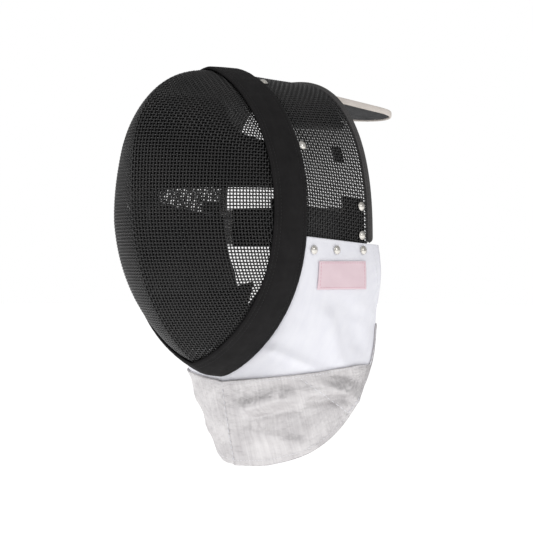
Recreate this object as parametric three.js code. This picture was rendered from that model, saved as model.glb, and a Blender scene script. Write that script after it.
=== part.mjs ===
// Fencing mask: a pressed wire face, a wire hood over the crown, a trim band over
// their joint, a sewn lining, a head spring, a rear strap and a throat bib.
// Millimetres, +Z up. The face looks along -Y and the wearer's left side is +X.
// The origin is where the crown of the head meets the underside of the crown pad.
import * as THREE from "three";

// Wire shell, outer faces.
const SHELL_TOP_Z = 13.5;
const SHELL_CHIN_Z = -264.5;
const WIDEST_Z = -129;
const SHELL_HALF_WIDTH = 95.5;
const WIRE_WALL = 2;
const DEEPEST_Z = -65;
const PROW_DEPTH = 109.5;
// The plane of the joint leans back from the chin to the crown.
const JOINT_TOP_Y = -32;
const JOINT_CHIN_Y = -52;
// Rear edge of the hood.
const RIM_Y = 62;
const RIM_TOP_Z = 6.5;
const RIM_CENTRE_Z = -144;
const RIM_HALF_WIDTH = 97;
const HOOD_LOWER_Z = -156;
// Trim band and edge bindings.
const BAND_FRONT = 20;
const BAND_REAR = 19.5;
const BAND_THICKNESS = 2.4;
const RIM_BEAD_WIDTH = 6.5;
const RIM_BEAD_HEIGHT = 6.4;
const CLEARANCE = 0.3;
// Bib.
const BIB_TOP_Z = -148;
const BIB_REAR_Y = 73;
const BIB_THICKNESS = 2.6;
const BIB_STANDOFF = 3.6;
const BIB_CHIN_STANDOFF = 0.8;
const LAME_THICKNESS = 1;
const LAME_SIDE_Z = -259;
const LAME_FRONT_Z = -274;
// Lining.
const PAD_EDGE = 3;
const CROWN_PAD = 7.9;
const BROW_PAD = 12;
const CHEEK_PAD = 9;
const CHIN_PAD = 8;
// Head spring.
const TONGUE_WIDTH = 84;
const TONGUE_TIP_Y = 187;
const TONGUE_ROOT_Y = 44;
const TONGUE_SLOPE = THREE.MathUtils.degToRad(6.5);
const TONGUE_THICKNESS = 4.2;
const BINDING_HEIGHT = 5.8;
const BINDING_WIDTH = 2.2;
// Strap and rivets.
const STRAP_HEIGHT = 37;
const STRAP_THICKNESS = 2.2;
const STRAP_Z = -129.5;
const RIVET_RADIUS = 4.3;
const RIVET_RISE = 2.1;

const mask = new THREE.Group();
const ROW_AXIS = new THREE.Vector3(0, 1, 0);

function finish(colour, roughness, metalness) {
  return new THREE.MeshStandardMaterial({ color: colour, roughness, metalness });
}

// A named mesh from points and triangles, with its faces turned outwards.
function addSolid(name, points, triangles, material) {
  let volume = 0;
  for (const [a, b, c] of triangles) {
    volume += points[a].dot(new THREE.Vector3().crossVectors(points[b], points[c]));
  }
  const turned = volume < 0 ? triangles.map(([a, b, c]) => [a, c, b]) : triangles;
  const geometry = new THREE.BufferGeometry().setFromPoints(points);
  geometry.setIndex(turned.flat());
  geometry.computeVertexNormals();
  const mesh = new THREE.Mesh(geometry, material);
  mesh.name = name;
  mask.add(mesh);
}

// A closed wall between an outer and an inner face, each a function of u and v in 0..1.
function addWall(name, outerAt, innerAt, columns, rows, material) {
  const points = [];
  const triangles = [];
  const faceSize = (columns + 1) * (rows + 1);
  for (const faceAt of [outerAt, innerAt]) {
    for (let row = 0; row <= rows; row += 1) {
      for (let column = 0; column <= columns; column += 1) {
        points.push(faceAt(column / columns, row / rows));
      }
    }
  }
  const outer = (column, row) => row * (columns + 1) + column;
  const inner = (column, row) => faceSize + outer(column, row);
  const quad = (a, b, c, d) => triangles.push([a, b, c], [a, c, d]);
  for (let row = 0; row < rows; row += 1) {
    for (let column = 0; column < columns; column += 1) {
      const next = column + 1;
      quad(outer(column, row), outer(next, row), outer(next, row + 1), outer(column, row + 1));
      quad(inner(column, row), inner(column, row + 1), inner(next, row + 1), inner(next, row));
    }
    quad(outer(0, row), outer(0, row + 1), inner(0, row + 1), inner(0, row));
    quad(outer(columns, row), inner(columns, row), inner(columns, row + 1), outer(columns, row + 1));
  }
  for (let column = 0; column < columns; column += 1) {
    quad(outer(column, 0), inner(column, 0), inner(column + 1, 0), outer(column + 1, 0));
    quad(outer(column, rows), outer(column + 1, rows), inner(column + 1, rows), inner(column, rows));
  }
  addSolid(name, points, triangles, material);
}

// A closed body through a row of sections, as a ring or as a bar with flat ends.
function addSwept(name, sections, isRing, material) {
  const sides = sections[0].length;
  const triangles = [];
  const spans = isRing ? sections.length : sections.length - 1;
  for (let span = 0; span < spans; span += 1) {
    const from = span * sides;
    const to = ((span + 1) % sections.length) * sides;
    for (let side = 0; side < sides; side += 1) {
      const next = (side + 1) % sides;
      triangles.push([from + side, from + next, to + next], [from + side, to + next, to + side]);
    }
  }
  if (!isRing) {
    const last = (sections.length - 1) * sides;
    for (let side = 1; side < sides - 1; side += 1) {
      triangles.push([0, side + 1, side], [last, last + side, last + side + 1]);
    }
  }
  addSolid(name, sections.flat(), triangles, material);
}

// Moves a point of a surface along the surface's normal. A positive distance goes
// away from the middle of the head.
const HEAD_MIDDLE = new THREE.Vector3(0, -20, -120);
function offsetPoint(surfaceAt, u, v, distance) {
  const step = 0.002;
  const point = surfaceAt(u, v);
  const alongU = surfaceAt(u + step, v).sub(surfaceAt(u - step, v));
  const alongV = surfaceAt(u, v + step).sub(surfaceAt(u, v - step));
  const normal = alongU.cross(alongV).normalize();
  const outward = point.clone().sub(HEAD_MIDDLE);
  return point.addScaledVector(normal, normal.dot(outward) < 0 ? -distance : distance);
}

// A pad is thin at its sewn edges and full in its middle.
const PAD_SWELL = 3.2;
function padThickness(u, v, full) {
  const fullness = Math.min(1, PAD_SWELL * Math.min(u, 1 - u, v, 1 - v));
  return PAD_EDGE + (full - PAD_EDGE) * Math.sqrt(Math.max(0, fullness * (2 - fullness)));
}

// The oval of the joint between face and hood.
function ovalHalfWidth(z) {
  const above = (z - WIDEST_Z) / (SHELL_TOP_Z - WIDEST_Z);
  const below = (WIDEST_Z - z) / (WIDEST_Z - SHELL_CHIN_Z);
  const share = z > WIDEST_Z ? (1 - above ** 2) ** 0.65 : (1 - below ** 2.3) ** 0.75;
  return SHELL_HALF_WIDTH * share;
}

function jointY(z) {
  const share = (SHELL_TOP_Z - z) / (SHELL_TOP_Z - SHELL_CHIN_Z);
  return THREE.MathUtils.lerp(JOINT_TOP_Y, JOINT_CHIN_Y, share);
}

// How far the creased prow stands in front of the joint.
function prowDepth(z) {
  const above = (z - DEEPEST_Z) / (SHELL_TOP_Z - DEEPEST_Z);
  const below = (DEEPEST_Z - z) / (DEEPEST_Z - SHELL_CHIN_Z);
  return PROW_DEPTH * (z > DEEPEST_Z ? (1 - above ** 2) ** 0.35 : (1 - below ** 2.6) ** 0.8);
}

// Share of the prow depth left at a share of the half width, sharper towards the chin.
function prowSection(share, z) {
  const towardsChin = THREE.MathUtils.clamp((WIDEST_Z - z) / (WIDEST_Z - SHELL_CHIN_Z), 0, 1);
  return (1 - share ** (1.3 - 0.2 * towardsChin)) ** (0.5 + 0.1 * towardsChin);
}

function faceDepth(x, z) {
  if (z >= SHELL_TOP_Z || z <= SHELL_CHIN_Z) {
    return 0;
  }
  const share = Math.abs(x) / ovalHalfWidth(z);
  return share >= 1 ? 0 : prowDepth(z) * prowSection(share, z);
}

// Face wire surface: u runs from the right side to the left, v from chin to crown.
const FACE_TIP = 0.035;
const FACE_TURN = 0.985 * Math.PI;
function facePoint(u, v) {
  const height = 0.5 - 0.5 * Math.cos(Math.PI * THREE.MathUtils.lerp(FACE_TIP, 1 - FACE_TIP, v));
  const z = THREE.MathUtils.lerp(SHELL_CHIN_Z, SHELL_TOP_Z, height);
  const x = ovalHalfWidth(z) * Math.sin((u - 0.5) * FACE_TURN);
  return new THREE.Vector3(x, jointY(z) - faceDepth(x, z), z);
}

class JointOval extends THREE.Curve {
  getPoint(t, target = new THREE.Vector3()) {
    const angle = 2 * Math.PI * t;
    const reach = Math.cos(angle) > 0 ? SHELL_TOP_Z - WIDEST_Z : WIDEST_Z - SHELL_CHIN_Z;
    const z = WIDEST_Z + reach * Math.cos(angle);
    return target.set(Math.sign(Math.sin(angle)) * ovalHalfWidth(z), jointY(z), z);
  }
}
const jointOval = new JointOval();
jointOval.arcLengthDivisions = 800;

function outwardOf(curve, t) {
  return curve.getTangentAt(t).cross(ROW_AXIS).normalize();
}

// How far inside the oval the face wire lies at a depth in front of the joint.
function insetAtDepth(point, outward, depth) {
  let near = 0;
  let far = 30;
  for (let halving = 0; halving < 24; halving += 1) {
    const middle = 0.5 * (near + far);
    const reached = faceDepth(point.x - outward.x * middle, point.z - outward.z * middle);
    if (reached < depth) {
      near = middle;
    } else {
      far = middle;
    }
  }
  return far;
}

// Hood surface: v runs from the joint to the rear rim, u from the right end over the
// crown to the left end.
const OVAL_AT_HOOD_END = 0.2735;
const RIM_EXPONENT = 2 / 2.4;
class HoodRim extends THREE.Curve {
  getPoint(t, target = new THREE.Vector3()) {
    const angle = Math.PI * (t - 0.5);
    const x = RIM_HALF_WIDTH * Math.sign(angle) * Math.abs(Math.sin(angle)) ** RIM_EXPONENT;
    const rise = (RIM_TOP_Z - RIM_CENTRE_Z) * Math.abs(Math.cos(angle)) ** RIM_EXPONENT;
    const z = RIM_CENTRE_Z + rise;
    return target.set(x, RIM_Y, z);
  }
}
const hoodRim = new HoodRim();
hoodRim.arcLengthDivisions = 800;

function jointPoint(u) {
  const t = (u - 0.5) * 2 * OVAL_AT_HOOD_END;
  return jointOval.getPointAt(t < 0 ? t + 1 : t);
}

function rimPoint(u) {
  const drop = RIM_CENTRE_Z - HOOD_LOWER_Z;
  const arc = hoodRim.getLength();
  const along = THREE.MathUtils.clamp(u, 0, 1) * (arc + 2 * drop) - drop;
  const point = hoodRim.getPointAt(THREE.MathUtils.clamp(along / arc, 0, 1));
  point.z -= Math.max(0, -along, along - arc);
  return point;
}

function hoodPoint(u, v) {
  return jointPoint(u).lerp(rimPoint(u), v);
}

// Wire walls.
const blackWire = finish(0x18181a, 0.4, 0.6);
const faceInner = (u, v) => offsetPoint(facePoint, u, v, -WIRE_WALL);
addWall("face_mesh", facePoint, faceInner, 26, 24, blackWire);

const HOOD_FRONT = 0.012;
const HOOD_REAR = 0.995;
const hoodShare = (v) => THREE.MathUtils.lerp(HOOD_FRONT, HOOD_REAR, v);
const hoodOuter = (u, v) => hoodPoint(u, hoodShare(v));
const hoodInner = (u, v) => offsetPoint(hoodPoint, u, hoodShare(v), -WIRE_WALL);
addWall("side_mesh", hoodOuter, hoodInner, 44, 5, blackWire);

// Trim band: a flat strip folded round the joint, riding on both wire walls.
const bandCloth = finish(0x26262a, 0.8, 0);
const BAND_STATIONS = [-BAND_FRONT, -13, -5, 5, BAND_REAR];
const BAND_STEPS = 84;
const BAND_GAP = 1.3;
function hoodFlare(t, outward, along) {
  const fromCrown = t > 0.5 ? t - 1 : t;
  const u = THREE.MathUtils.clamp(0.5 + (0.5 * fromCrown) / OVAL_AT_HOOD_END, 0, 1);
  const joint = jointPoint(u);
  const flare = hoodPoint(u, along / (RIM_Y - joint.y)).sub(joint).dot(outward);
  return Math.max(0, flare);
}
function bandSection(t) {
  const joint = jointOval.getPointAt(t);
  const outward = outwardOf(jointOval, t);
  const layer = (rise) => BAND_STATIONS.map((along) => {
    const shift = along < 0 ? -insetAtDepth(joint, outward, -along) : hoodFlare(t, outward, along);
    const point = joint.clone().addScaledVector(outward, rise + shift);
    point.y += along;
    return point;
  });
  return [...layer(BAND_GAP), ...layer(BAND_GAP + BAND_THICKNESS).reverse()];
}
const bandShare = (step) => (step + 0.5) / BAND_STEPS;
const bandSections = Array.from({ length: BAND_STEPS }, (_, step) => bandSection(bandShare(step)));
addSwept("trim_band", bandSections, true, bandCloth);

// Rear rim: a rounded binding round the free edge of the hood.
const RIM_STEPS = 52;
const RIM_SIDES = 8;
const RIM_END = 0.023;
const RIM_TURN_END = 0.04;
const RIM_INSET = 1;
function rimSection(u) {
  const point = rimPoint(u);
  const outward = outwardOf(hoodRim, THREE.MathUtils.clamp(u, RIM_TURN_END, 1 - RIM_TURN_END));
  return Array.from({ length: RIM_SIDES }, (_, side) => {
    const angle = (2 * Math.PI * (side + 0.5)) / RIM_SIDES;
    const rise = 0.5 * RIM_BEAD_HEIGHT * Math.sin(angle) - RIM_INSET;
    const corner = point.clone().addScaledVector(outward, rise);
    corner.y += 0.5 * RIM_BEAD_WIDTH * (1 + Math.cos(angle)) + CLEARANCE;
    return corner;
  });
}
const rimShare = (step) => THREE.MathUtils.lerp(RIM_END, 1 - RIM_END, step / RIM_STEPS);
const rimSections = Array.from({ length: RIM_STEPS + 1 }, (_, step) => rimSection(rimShare(step)));
addSwept("rear_rim", rimSections, false, finish(0x3c3c3e, 0.7, 0));

// Bib: one sheet whose top edge runs level along both sides, then down the band to
// the chin, and whose hem falls to a point over the throat.
const BAND_SHARE_OF_TOP = 0.6;
const CHIN_OVAL = 0.5;
const OVAL_AT_BIB_TOP = 0.27;
const BIB_BEHIND_BAND = 0.7;
function bibTop(side, share) {
  const onBand = Math.min(1, share / BAND_SHARE_OF_TOP);
  const t = THREE.MathUtils.lerp(CHIN_OVAL, OVAL_AT_BIB_TOP, onBand);
  const point = jointOval.getPointAt(t);
  const standoff = THREE.MathUtils.lerp(BIB_CHIN_STANDOFF, BIB_STANDOFF, onBand);
  point.addScaledVector(outwardOf(jointOval, t), standoff);
  point.y += BAND_REAR + BIB_BEHIND_BAND;
  const level = Math.max(0, (share - BAND_SHARE_OF_TOP) / (1 - BAND_SHARE_OF_TOP));
  point.lerp(new THREE.Vector3(RIM_HALF_WIDTH + BIB_STANDOFF, BIB_REAR_Y, BIB_TOP_Z), level);
  point.x *= side;
  return point;
}

const hemCurve = new THREE.CatmullRomCurve3([
  new THREE.Vector3(0, -12, -354),
  new THREE.Vector3(36, -4, -352),
  new THREE.Vector3(71, 17, -338),
  new THREE.Vector3(88, 46, -307),
  new THREE.Vector3(96, 67, -261),
  new THREE.Vector3(99, 73, -204),
]);
const BIB_BULGE = 4;
const CHIN_BULGE_SHARE = 0.15;
const RIGHT_FOLD = 15;
const RIGHT_FOLD_EXPONENT = 0.6;
const HEM_EXPONENT = 0.9;
function bibPoint(u, v) {
  const across = 2 * u - 1;
  const side = Math.sign(across) || 1;
  const share = Math.abs(across);
  const top = bibTop(side, Math.min(1, share));
  const hem = hemCurve.getPointAt(Math.min(1, share ** HEM_EXPONENT));
  const foldShare = Math.min(1, share) ** RIGHT_FOLD_EXPONENT;
  hem.x *= side;
  hem.y += side < 0 ? RIGHT_FOLD * Math.sin(Math.PI * foldShare) : 0;
  const point = top.lerp(hem, v);
  const bulge = BIB_BULGE * Math.sin(Math.PI * THREE.MathUtils.clamp(v, 0, 1));
  point.x += side * bulge * Math.sin(0.5 * Math.PI * share);
  point.y -= CHIN_BULGE_SHARE * bulge * Math.cos(0.5 * Math.PI * share);
  return point;
}
const whiteCloth = finish(0xf0f0f4, 0.85, 0);
const BIB_END = 0.003;
function bibInner(u, v) {
  const inside = THREE.MathUtils.clamp(u, BIB_END, 1 - BIB_END);
  return offsetPoint(bibPoint, inside, v, -BIB_THICKNESS);
}
addWall("bib", bibPoint, bibInner, 44, 14, whiteCloth);

// Share of the way down the bib at which a line of its cloth reaches a height.
const BIB_EDGE = 0.03;
function bibShareAt(u, z) {
  const top = bibPoint(u, 0);
  const hem = bibPoint(u, 1);
  return THREE.MathUtils.clamp((top.z - z) / (top.z - hem.z), BIB_EDGE, 1 - BIB_EDGE);
}

// Conductive lower part of the bib: a thin sheet laid over the white one.
const LAME_RISE = 1.6;
function lameShare(u) {
  const towardsSide = Math.min(1, LAME_RISE * Math.abs(2 * u - 1));
  return bibShareAt(u, THREE.MathUtils.lerp(LAME_FRONT_Z, LAME_SIDE_Z, towardsSide));
}
const LAME_FROM = 0.045;
const LAME_HEM = 0.995;
const lameU = (u) => THREE.MathUtils.lerp(LAME_FROM, 1 - LAME_FROM, u);
const lameV = (u, v) => THREE.MathUtils.lerp(lameShare(lameU(u)), LAME_HEM, v);
const lameAt = (rise) => (u, v) => offsetPoint(bibPoint, lameU(u), lameV(u, v), rise);
const silverCloth = finish(0xc6c4c0, 0.5, 0.3);
addWall("bib_lame", lameAt(CLEARANCE + LAME_THICKNESS), lameAt(CLEARANCE), 40, 8, silverCloth);

// Lining.
const blackPad = finish(0x1b1b1d, 0.9, 0);
const padSolid = (name, outerAt, full, columns, rows, material) => {
  const innerAt = (u, v) => offsetPoint(outerAt, u, v, -padThickness(u, v, full));
  addWall(name, outerAt, innerAt, columns, rows, material);
};

// Crown pad, hung under the hood from the joint to the rim.
const CROWN_FROM = 0.285;
const CROWN_FRONT = -0.05;
const CROWN_REAR = 0.78;
const CROWN_GAP = 1.2;
const CROWN_SIDE_REACH = 0.16;
const CROWN_SIDE_FROM = 0.35;
const CROWN_SIDE_FADE = 0.25;
function crownPoint(u, v) {
  const along = THREE.MathUtils.lerp(CROWN_FROM, 1 - CROWN_FROM, u);
  const beside = (Math.abs(2 * u - 1) - CROWN_SIDE_FROM) / CROWN_SIDE_FADE;
  const rear = CROWN_REAR + CROWN_SIDE_REACH * THREE.MathUtils.smoothstep(beside, 0, 1);
  const back = THREE.MathUtils.lerp(CROWN_FRONT, rear, v);
  return offsetPoint(hoodPoint, along, back, -WIRE_WALL - CROWN_GAP);
}
padSolid("crown_pad", crownPoint, CROWN_PAD, 20, 8, blackPad);

// Brow pad, an arc from temple to temple that fills the prow above the eyes. Its lower
// edge stands back from the wire so that the wearer can look down, and its two ends run
// back past the joint beside the temples.
const BROW_LOWER_Z = -96;
const BROW_UPPER_Z = -16;
const BROW_HALF_WIDTH = 83;
const BROW_SIDE_GAP = 12;
const BROW_PROW_GAP = 14;
const BROW_EDGE_GAP = 29;
const BROW_EDGE_FADE = 22;
const BROW_SIDE_Y = 6;
const BROW_RETURN = 42;
const BROW_RETURN_FROM = 0.37;
const BROW_RETURN_TOP_Z = -46;
const BROW_RETURN_FADE = 10;
function browPoint(u, v) {
  const z = THREE.MathUtils.lerp(BROW_LOWER_Z, BROW_UPPER_Z, v);
  const angle = (u - 0.5) * Math.PI;
  const x = Math.min(BROW_HALF_WIDTH, ovalHalfWidth(z) - BROW_SIDE_GAP) * Math.sin(angle);
  const aboveEdge = Math.max(0, z - BROW_LOWER_Z) / BROW_EDGE_FADE;
  const gap = BROW_PROW_GAP + (BROW_EDGE_GAP - BROW_PROW_GAP) * Math.exp(-(aboveEdge ** 2));
  const section = prowSection(Math.abs(x) / ovalHalfWidth(z), z);
  const depth = Math.max(BROW_SIDE_Y, (prowDepth(z) - gap) * section);
  const fromEnd = Math.max(0, (Math.abs(u - 0.5) - BROW_RETURN_FROM) / (0.5 - BROW_RETURN_FROM));
  const below = THREE.MathUtils.clamp((BROW_RETURN_TOP_Z - z) / BROW_RETURN_FADE, 0, 1);
  const rearward = BROW_RETURN * fromEnd * below;
  return new THREE.Vector3(x, jointY(z) - depth + rearward, z);
}
padSolid("brow_pad", browPoint, BROW_PAD, 20, 8, blackPad);

// Cheek pads, standing along the sides below the ears.
const CHEEK_LOWER = 0.405;
const CHEEK_UPPER = 0.221;
const CHEEK_INSET = 13;
const CHEEK_FRONT_LOWER_Y = -61;
const CHEEK_FRONT_UPPER_Y = -50;
const CHEEK_FRONT_SLOPE = 2.5;
const CHEEK_REAR_DROP = 13;
const CHEEK_REAR_YS = [30, 58, 62, 55, 51];
const cheekRear = new THREE.CatmullRomCurve3(CHEEK_REAR_YS.map((y) => new THREE.Vector3(0, y, 0)));
function cheekPoint(side) {
  return (u, v) => {
    const t = THREE.MathUtils.lerp(CHEEK_LOWER, CHEEK_UPPER, v);
    const point = jointOval.getPointAt(t);
    point.addScaledVector(outwardOf(jointOval, t), -CHEEK_INSET);
    const frontShare = Math.min(1, CHEEK_FRONT_SLOPE * v);
    const front = THREE.MathUtils.lerp(CHEEK_FRONT_LOWER_Y, CHEEK_FRONT_UPPER_Y, frontShare);
    const rear = cheekRear.getPoint(THREE.MathUtils.clamp(v, 0, 1)).y;
    point.y = THREE.MathUtils.lerp(front, rear, u);
    point.z -= CHEEK_REAR_DROP * v * u;
    point.x *= side;
    return point;
  };
}
const cheekGrey = finish(0x232325, 0.9, 0);
padSolid("cheek_pad_left", cheekPoint(1), CHEEK_PAD, 10, 10, cheekGrey);
padSolid("cheek_pad_right", cheekPoint(-1), CHEEK_PAD, 10, 10, cheekGrey);

// Chin pad, a cup inside the lower part of the face.
const CHIN_LOWER_Z = -243;
const CHIN_UPPER_Z = -193;
const CHIN_GAP = 14;
const CHIN_SPAN = 0.97;
const CHIN_SIDE_GAP = 10;
const CHIN_CORNER_RISE = 10;
const CHIN_SIDE_Y = 5;
function chinPoint(u, v) {
  const turn = Math.sin((u - 0.5) * CHIN_SPAN * Math.PI);
  const upper = CHIN_UPPER_Z + CHIN_CORNER_RISE * turn ** 4;
  const z = THREE.MathUtils.lerp(CHIN_LOWER_Z, upper, v);
  const x = (ovalHalfWidth(z) - CHIN_SIDE_GAP) * turn;
  const share = Math.abs(x) / ovalHalfWidth(z);
  const depth = (prowDepth(z) - CHIN_GAP) * prowSection(share, z);
  return new THREE.Vector3(x, jointY(z) - Math.max(depth, CHIN_SIDE_Y), z);
}
padSolid("chin_pad", chinPoint, CHIN_PAD, 18, 6, blackPad);

// Head spring: a padded plate from under the crown, sloping down to the rear.
const TONGUE_ROOT_Z = -4.6;
const tongueLength = (TONGUE_TIP_Y - TONGUE_ROOT_Y) / Math.cos(TONGUE_SLOPE);
const TONGUE_ROOT_WIDTH = 56;
const TONGUE_SHOULDER = 36;
function tongueOutline(inset) {
  const half = 0.5 * TONGUE_WIDTH - inset;
  const rootHalf = 0.5 * TONGUE_ROOT_WIDTH - inset;
  const straight = tongueLength - 0.5 * TONGUE_WIDTH;
  const outline = [[-rootHalf, inset], [-half, TONGUE_SHOULDER], [-half, straight]];
  const turns = 14;
  for (let turn = 1; turn < turns; turn += 1) {
    const angle = Math.PI * (1 - turn / turns);
    outline.push([half * Math.cos(angle), straight + half * Math.sin(angle)]);
  }
  outline.push([half, straight], [half, TONGUE_SHOULDER], [rootHalf, inset]);
  return outline;
}
function tongueBody(name, outlines, rise, material) {
  const toMask = ([x, along], height) => new THREE.Vector3(
    x,
    TONGUE_ROOT_Y + along * Math.cos(TONGUE_SLOPE) + height * Math.sin(TONGUE_SLOPE),
    TONGUE_ROOT_Z - along * Math.sin(TONGUE_SLOPE) + height * Math.cos(TONGUE_SLOPE),
  );
  const [edge, ...holes] = outlines.map((outline) => outline.map(([x, y]) => new THREE.Vector2(x, y)));
  const faces = THREE.ShapeUtils.triangulateShape([...edge].reverse(), holes);
  const rims = [[...outlines[0]].reverse(), ...outlines.slice(1)];
  const flat = rims.flat();
  const layer = (height) => flat.map((point) => toMask(point, height));
  const points = [...layer(0.5 * rise), ...layer(-0.5 * rise)];
  const under = flat.length;
  const triangles = faces.flatMap(([a, b, c]) => [[a, b, c], [a + under, c + under, b + under]]);
  let first = 0;
  for (const rim of rims) {
    for (let index = 0; index < rim.length; index += 1) {
      const a = first + index;
      const b = first + ((index + 1) % rim.length);
      triangles.push([b, a, a + under], [b, a + under, b + under]);
    }
    first += rim.length;
  }
  addSolid(name, points, triangles, material);
}
const plateOutline = tongueOutline(BINDING_WIDTH + CLEARANCE);
tongueBody("tongue", [plateOutline], TONGUE_THICKNESS, finish(0x2b2b2d, 0.85, 0));
const bindingOutlines = [tongueOutline(0), tongueOutline(BINDING_WIDTH)];
tongueBody("tongue_binding", bindingOutlines, BINDING_HEIGHT, finish(0xd6cfc4, 0.8, 0));

// Spring strip that carries the head spring from the inside of the hood.
const SPRING_HALF_WIDTH = 11;
const SPRING_THICKNESS = 1.2;
const SPRING_ROUTE = new THREE.CatmullRomCurve3([
  new THREE.Vector3(0, 43.5, 4.3),
  new THREE.Vector3(0, 49, 3.6),
  new THREE.Vector3(0, 56, 0.6),
  new THREE.Vector3(0, 63, -3),
  new THREE.Vector3(0, 73, -4.7),
  new THREE.Vector3(0, 88, -6.4),
]);
function springSection(t) {
  const point = SPRING_ROUTE.getPointAt(t);
  const across = new THREE.Vector3(SPRING_HALF_WIDTH, 0, 0);
  const rise = SPRING_ROUTE.getTangentAt(t).cross(across).setLength(0.5 * SPRING_THICKNESS);
  const corners = [[1, 1], [-1, 1], [-1, -1], [1, -1]];
  return corners.map(([x, z]) => point.clone().addScaledVector(across, x).addScaledVector(rise, z));
}
const SPRING_STEPS = 14;
const springSteps = Array.from({ length: SPRING_STEPS + 1 }, (_, step) => step);
const springSections = springSteps.map((step) => springSection(step / SPRING_STEPS));
addSwept("tongue_spring", springSections, false, finish(0x8d8f92, 0.35, 1));

// Rear strap: a padded panel and, on the wearer's left, the long elastic that sets its
// fit, with an anchor inside each side.
const STRAP_END_X = 90.6;
const STRAP_END_Y = 58;
const STRAP_BOW = 8;
const STRAP_BOW_EXPONENT = 0.75;
const PANEL_FROM = 0.07;
const PANEL_TO = 0.57;
const ELASTIC_INSET = 3;
function strapWall(name, from, to, height, material) {
  const pointAt = (rise) => (u, v) => {
    const across = 2 * THREE.MathUtils.lerp(from, to, u) - 1;
    const y = STRAP_END_Y + STRAP_BOW * (1 - across ** 2) ** STRAP_BOW_EXPONENT + rise;
    return new THREE.Vector3(across * STRAP_END_X, y, STRAP_Z + height * (v - 0.5));
  };
  addWall(name, pointAt(STRAP_THICKNESS), pointAt(0), 20, 2, material);
}
const elastic = finish(0xd9d6d0, 0.9, 0);
const JOIN_GAP = 0.003;
strapWall("strap_panel", PANEL_FROM, PANEL_TO, STRAP_HEIGHT, blackPad);
strapWall("strap_elastic_right", 0, PANEL_FROM - JOIN_GAP, STRAP_HEIGHT - ELASTIC_INSET, elastic);
strapWall("strap_elastic_left", PANEL_TO + JOIN_GAP, 1, STRAP_HEIGHT - ELASTIC_INSET, elastic);

const ANCHOR_FRONT = 0.72;
const ANCHOR_REAR = 0.985;
const ANCHOR_BACK = WIRE_WALL + CLEARANCE;
const ANCHOR_THICKNESS = 2.2;
const ANCHOR_UPPER = 0.882;
const ANCHOR_LOWER = 0.985;
for (const name of ["left", "right"]) {
  const anchorAt = (inset) => (u, v) => {
    const along = THREE.MathUtils.lerp(ANCHOR_UPPER, ANCHOR_LOWER, u);
    const back = THREE.MathUtils.lerp(ANCHOR_FRONT, ANCHOR_REAR, v);
    return offsetPoint(hoodPoint, name === "left" ? along : 1 - along, back, -inset);
  };
  const innerAt = anchorAt(ANCHOR_BACK + ANCHOR_THICKNESS);
  addWall(`strap_anchor_${name}`, anchorAt(ANCHOR_BACK), innerAt, 6, 3, blackPad);
}

// Small fabric tabs that hold the lining to the hood.
const TAB_UPPER = 0.765;
const TAB_LOWER = 0.805;
const TAB_FRONT = 0.68;
const TAB_REAR = 0.8;
const TAB_THICKNESS = 1.7;
for (const name of ["left", "right"]) {
  const tabAt = (inset) => (u, v) => {
    const along = THREE.MathUtils.lerp(TAB_UPPER, TAB_LOWER, u);
    const back = THREE.MathUtils.lerp(TAB_FRONT, TAB_REAR, v);
    return offsetPoint(hoodPoint, name === "left" ? along : 1 - along, back, -inset);
  };
  const outerAt = tabAt(WIRE_WALL + CLEARANCE);
  const innerAt = tabAt(WIRE_WALL + CLEARANCE + TAB_THICKNESS);
  addWall(`pad_tab_${name}`, outerAt, innerAt, 3, 3, finish(0x38383a, 0.9, 0));
}

// Bare patch sewn to the left side of the bib.
const PATCH_FRONT = 0.788;
const PATCH_REAR = 0.937;
const PATCH_LOWER_Z = -189;
const PATCH_UPPER_Z = -163;
const PATCH_THICKNESS = 0.6;
const PATCH_LIFT = 0.5;
const PATCH_MIDDLE_Z = (PATCH_LOWER_Z + PATCH_UPPER_Z) / 2;
const PATCH_SEARCH_FROM = 0.6;
const PATCH_SEARCH_STEPS = 30;
const bibYAt = (share, z) => bibPoint(share, bibShareAt(share, z)).y;
const PATCH_FRONT_Y = bibYAt(PATCH_FRONT, PATCH_MIDDLE_Z);
const PATCH_REAR_Y = bibYAt(PATCH_REAR, PATCH_MIDDLE_Z);

// Share round the bib at which its cloth is a distance back, at one height.
function bibShareAtDepth(y, z) {
  let near = PATCH_SEARCH_FROM;
  let far = 1;
  for (let step = 0; step < PATCH_SEARCH_STEPS; step += 1) {
    const middle = (near + far) / 2;
    const behind = bibYAt(middle, z) > y;
    near = behind ? near : middle;
    far = behind ? middle : far;
  }
  return (near + far) / 2;
}
const patchAt = (rise) => (u, v) => {
  const z = THREE.MathUtils.lerp(PATCH_LOWER_Z, PATCH_UPPER_Z, v);
  const share = bibShareAtDepth(THREE.MathUtils.lerp(PATCH_FRONT_Y, PATCH_REAR_Y, u), z);
  return offsetPoint(bibPoint, share, bibShareAt(share, z), rise);
};
const patchCloth = finish(0xe8d5da, 0.8, 0);
addWall("label_patch", patchAt(PATCH_LIFT + PATCH_THICKNESS), patchAt(PATCH_LIFT), 8, 6, patchCloth);

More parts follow.
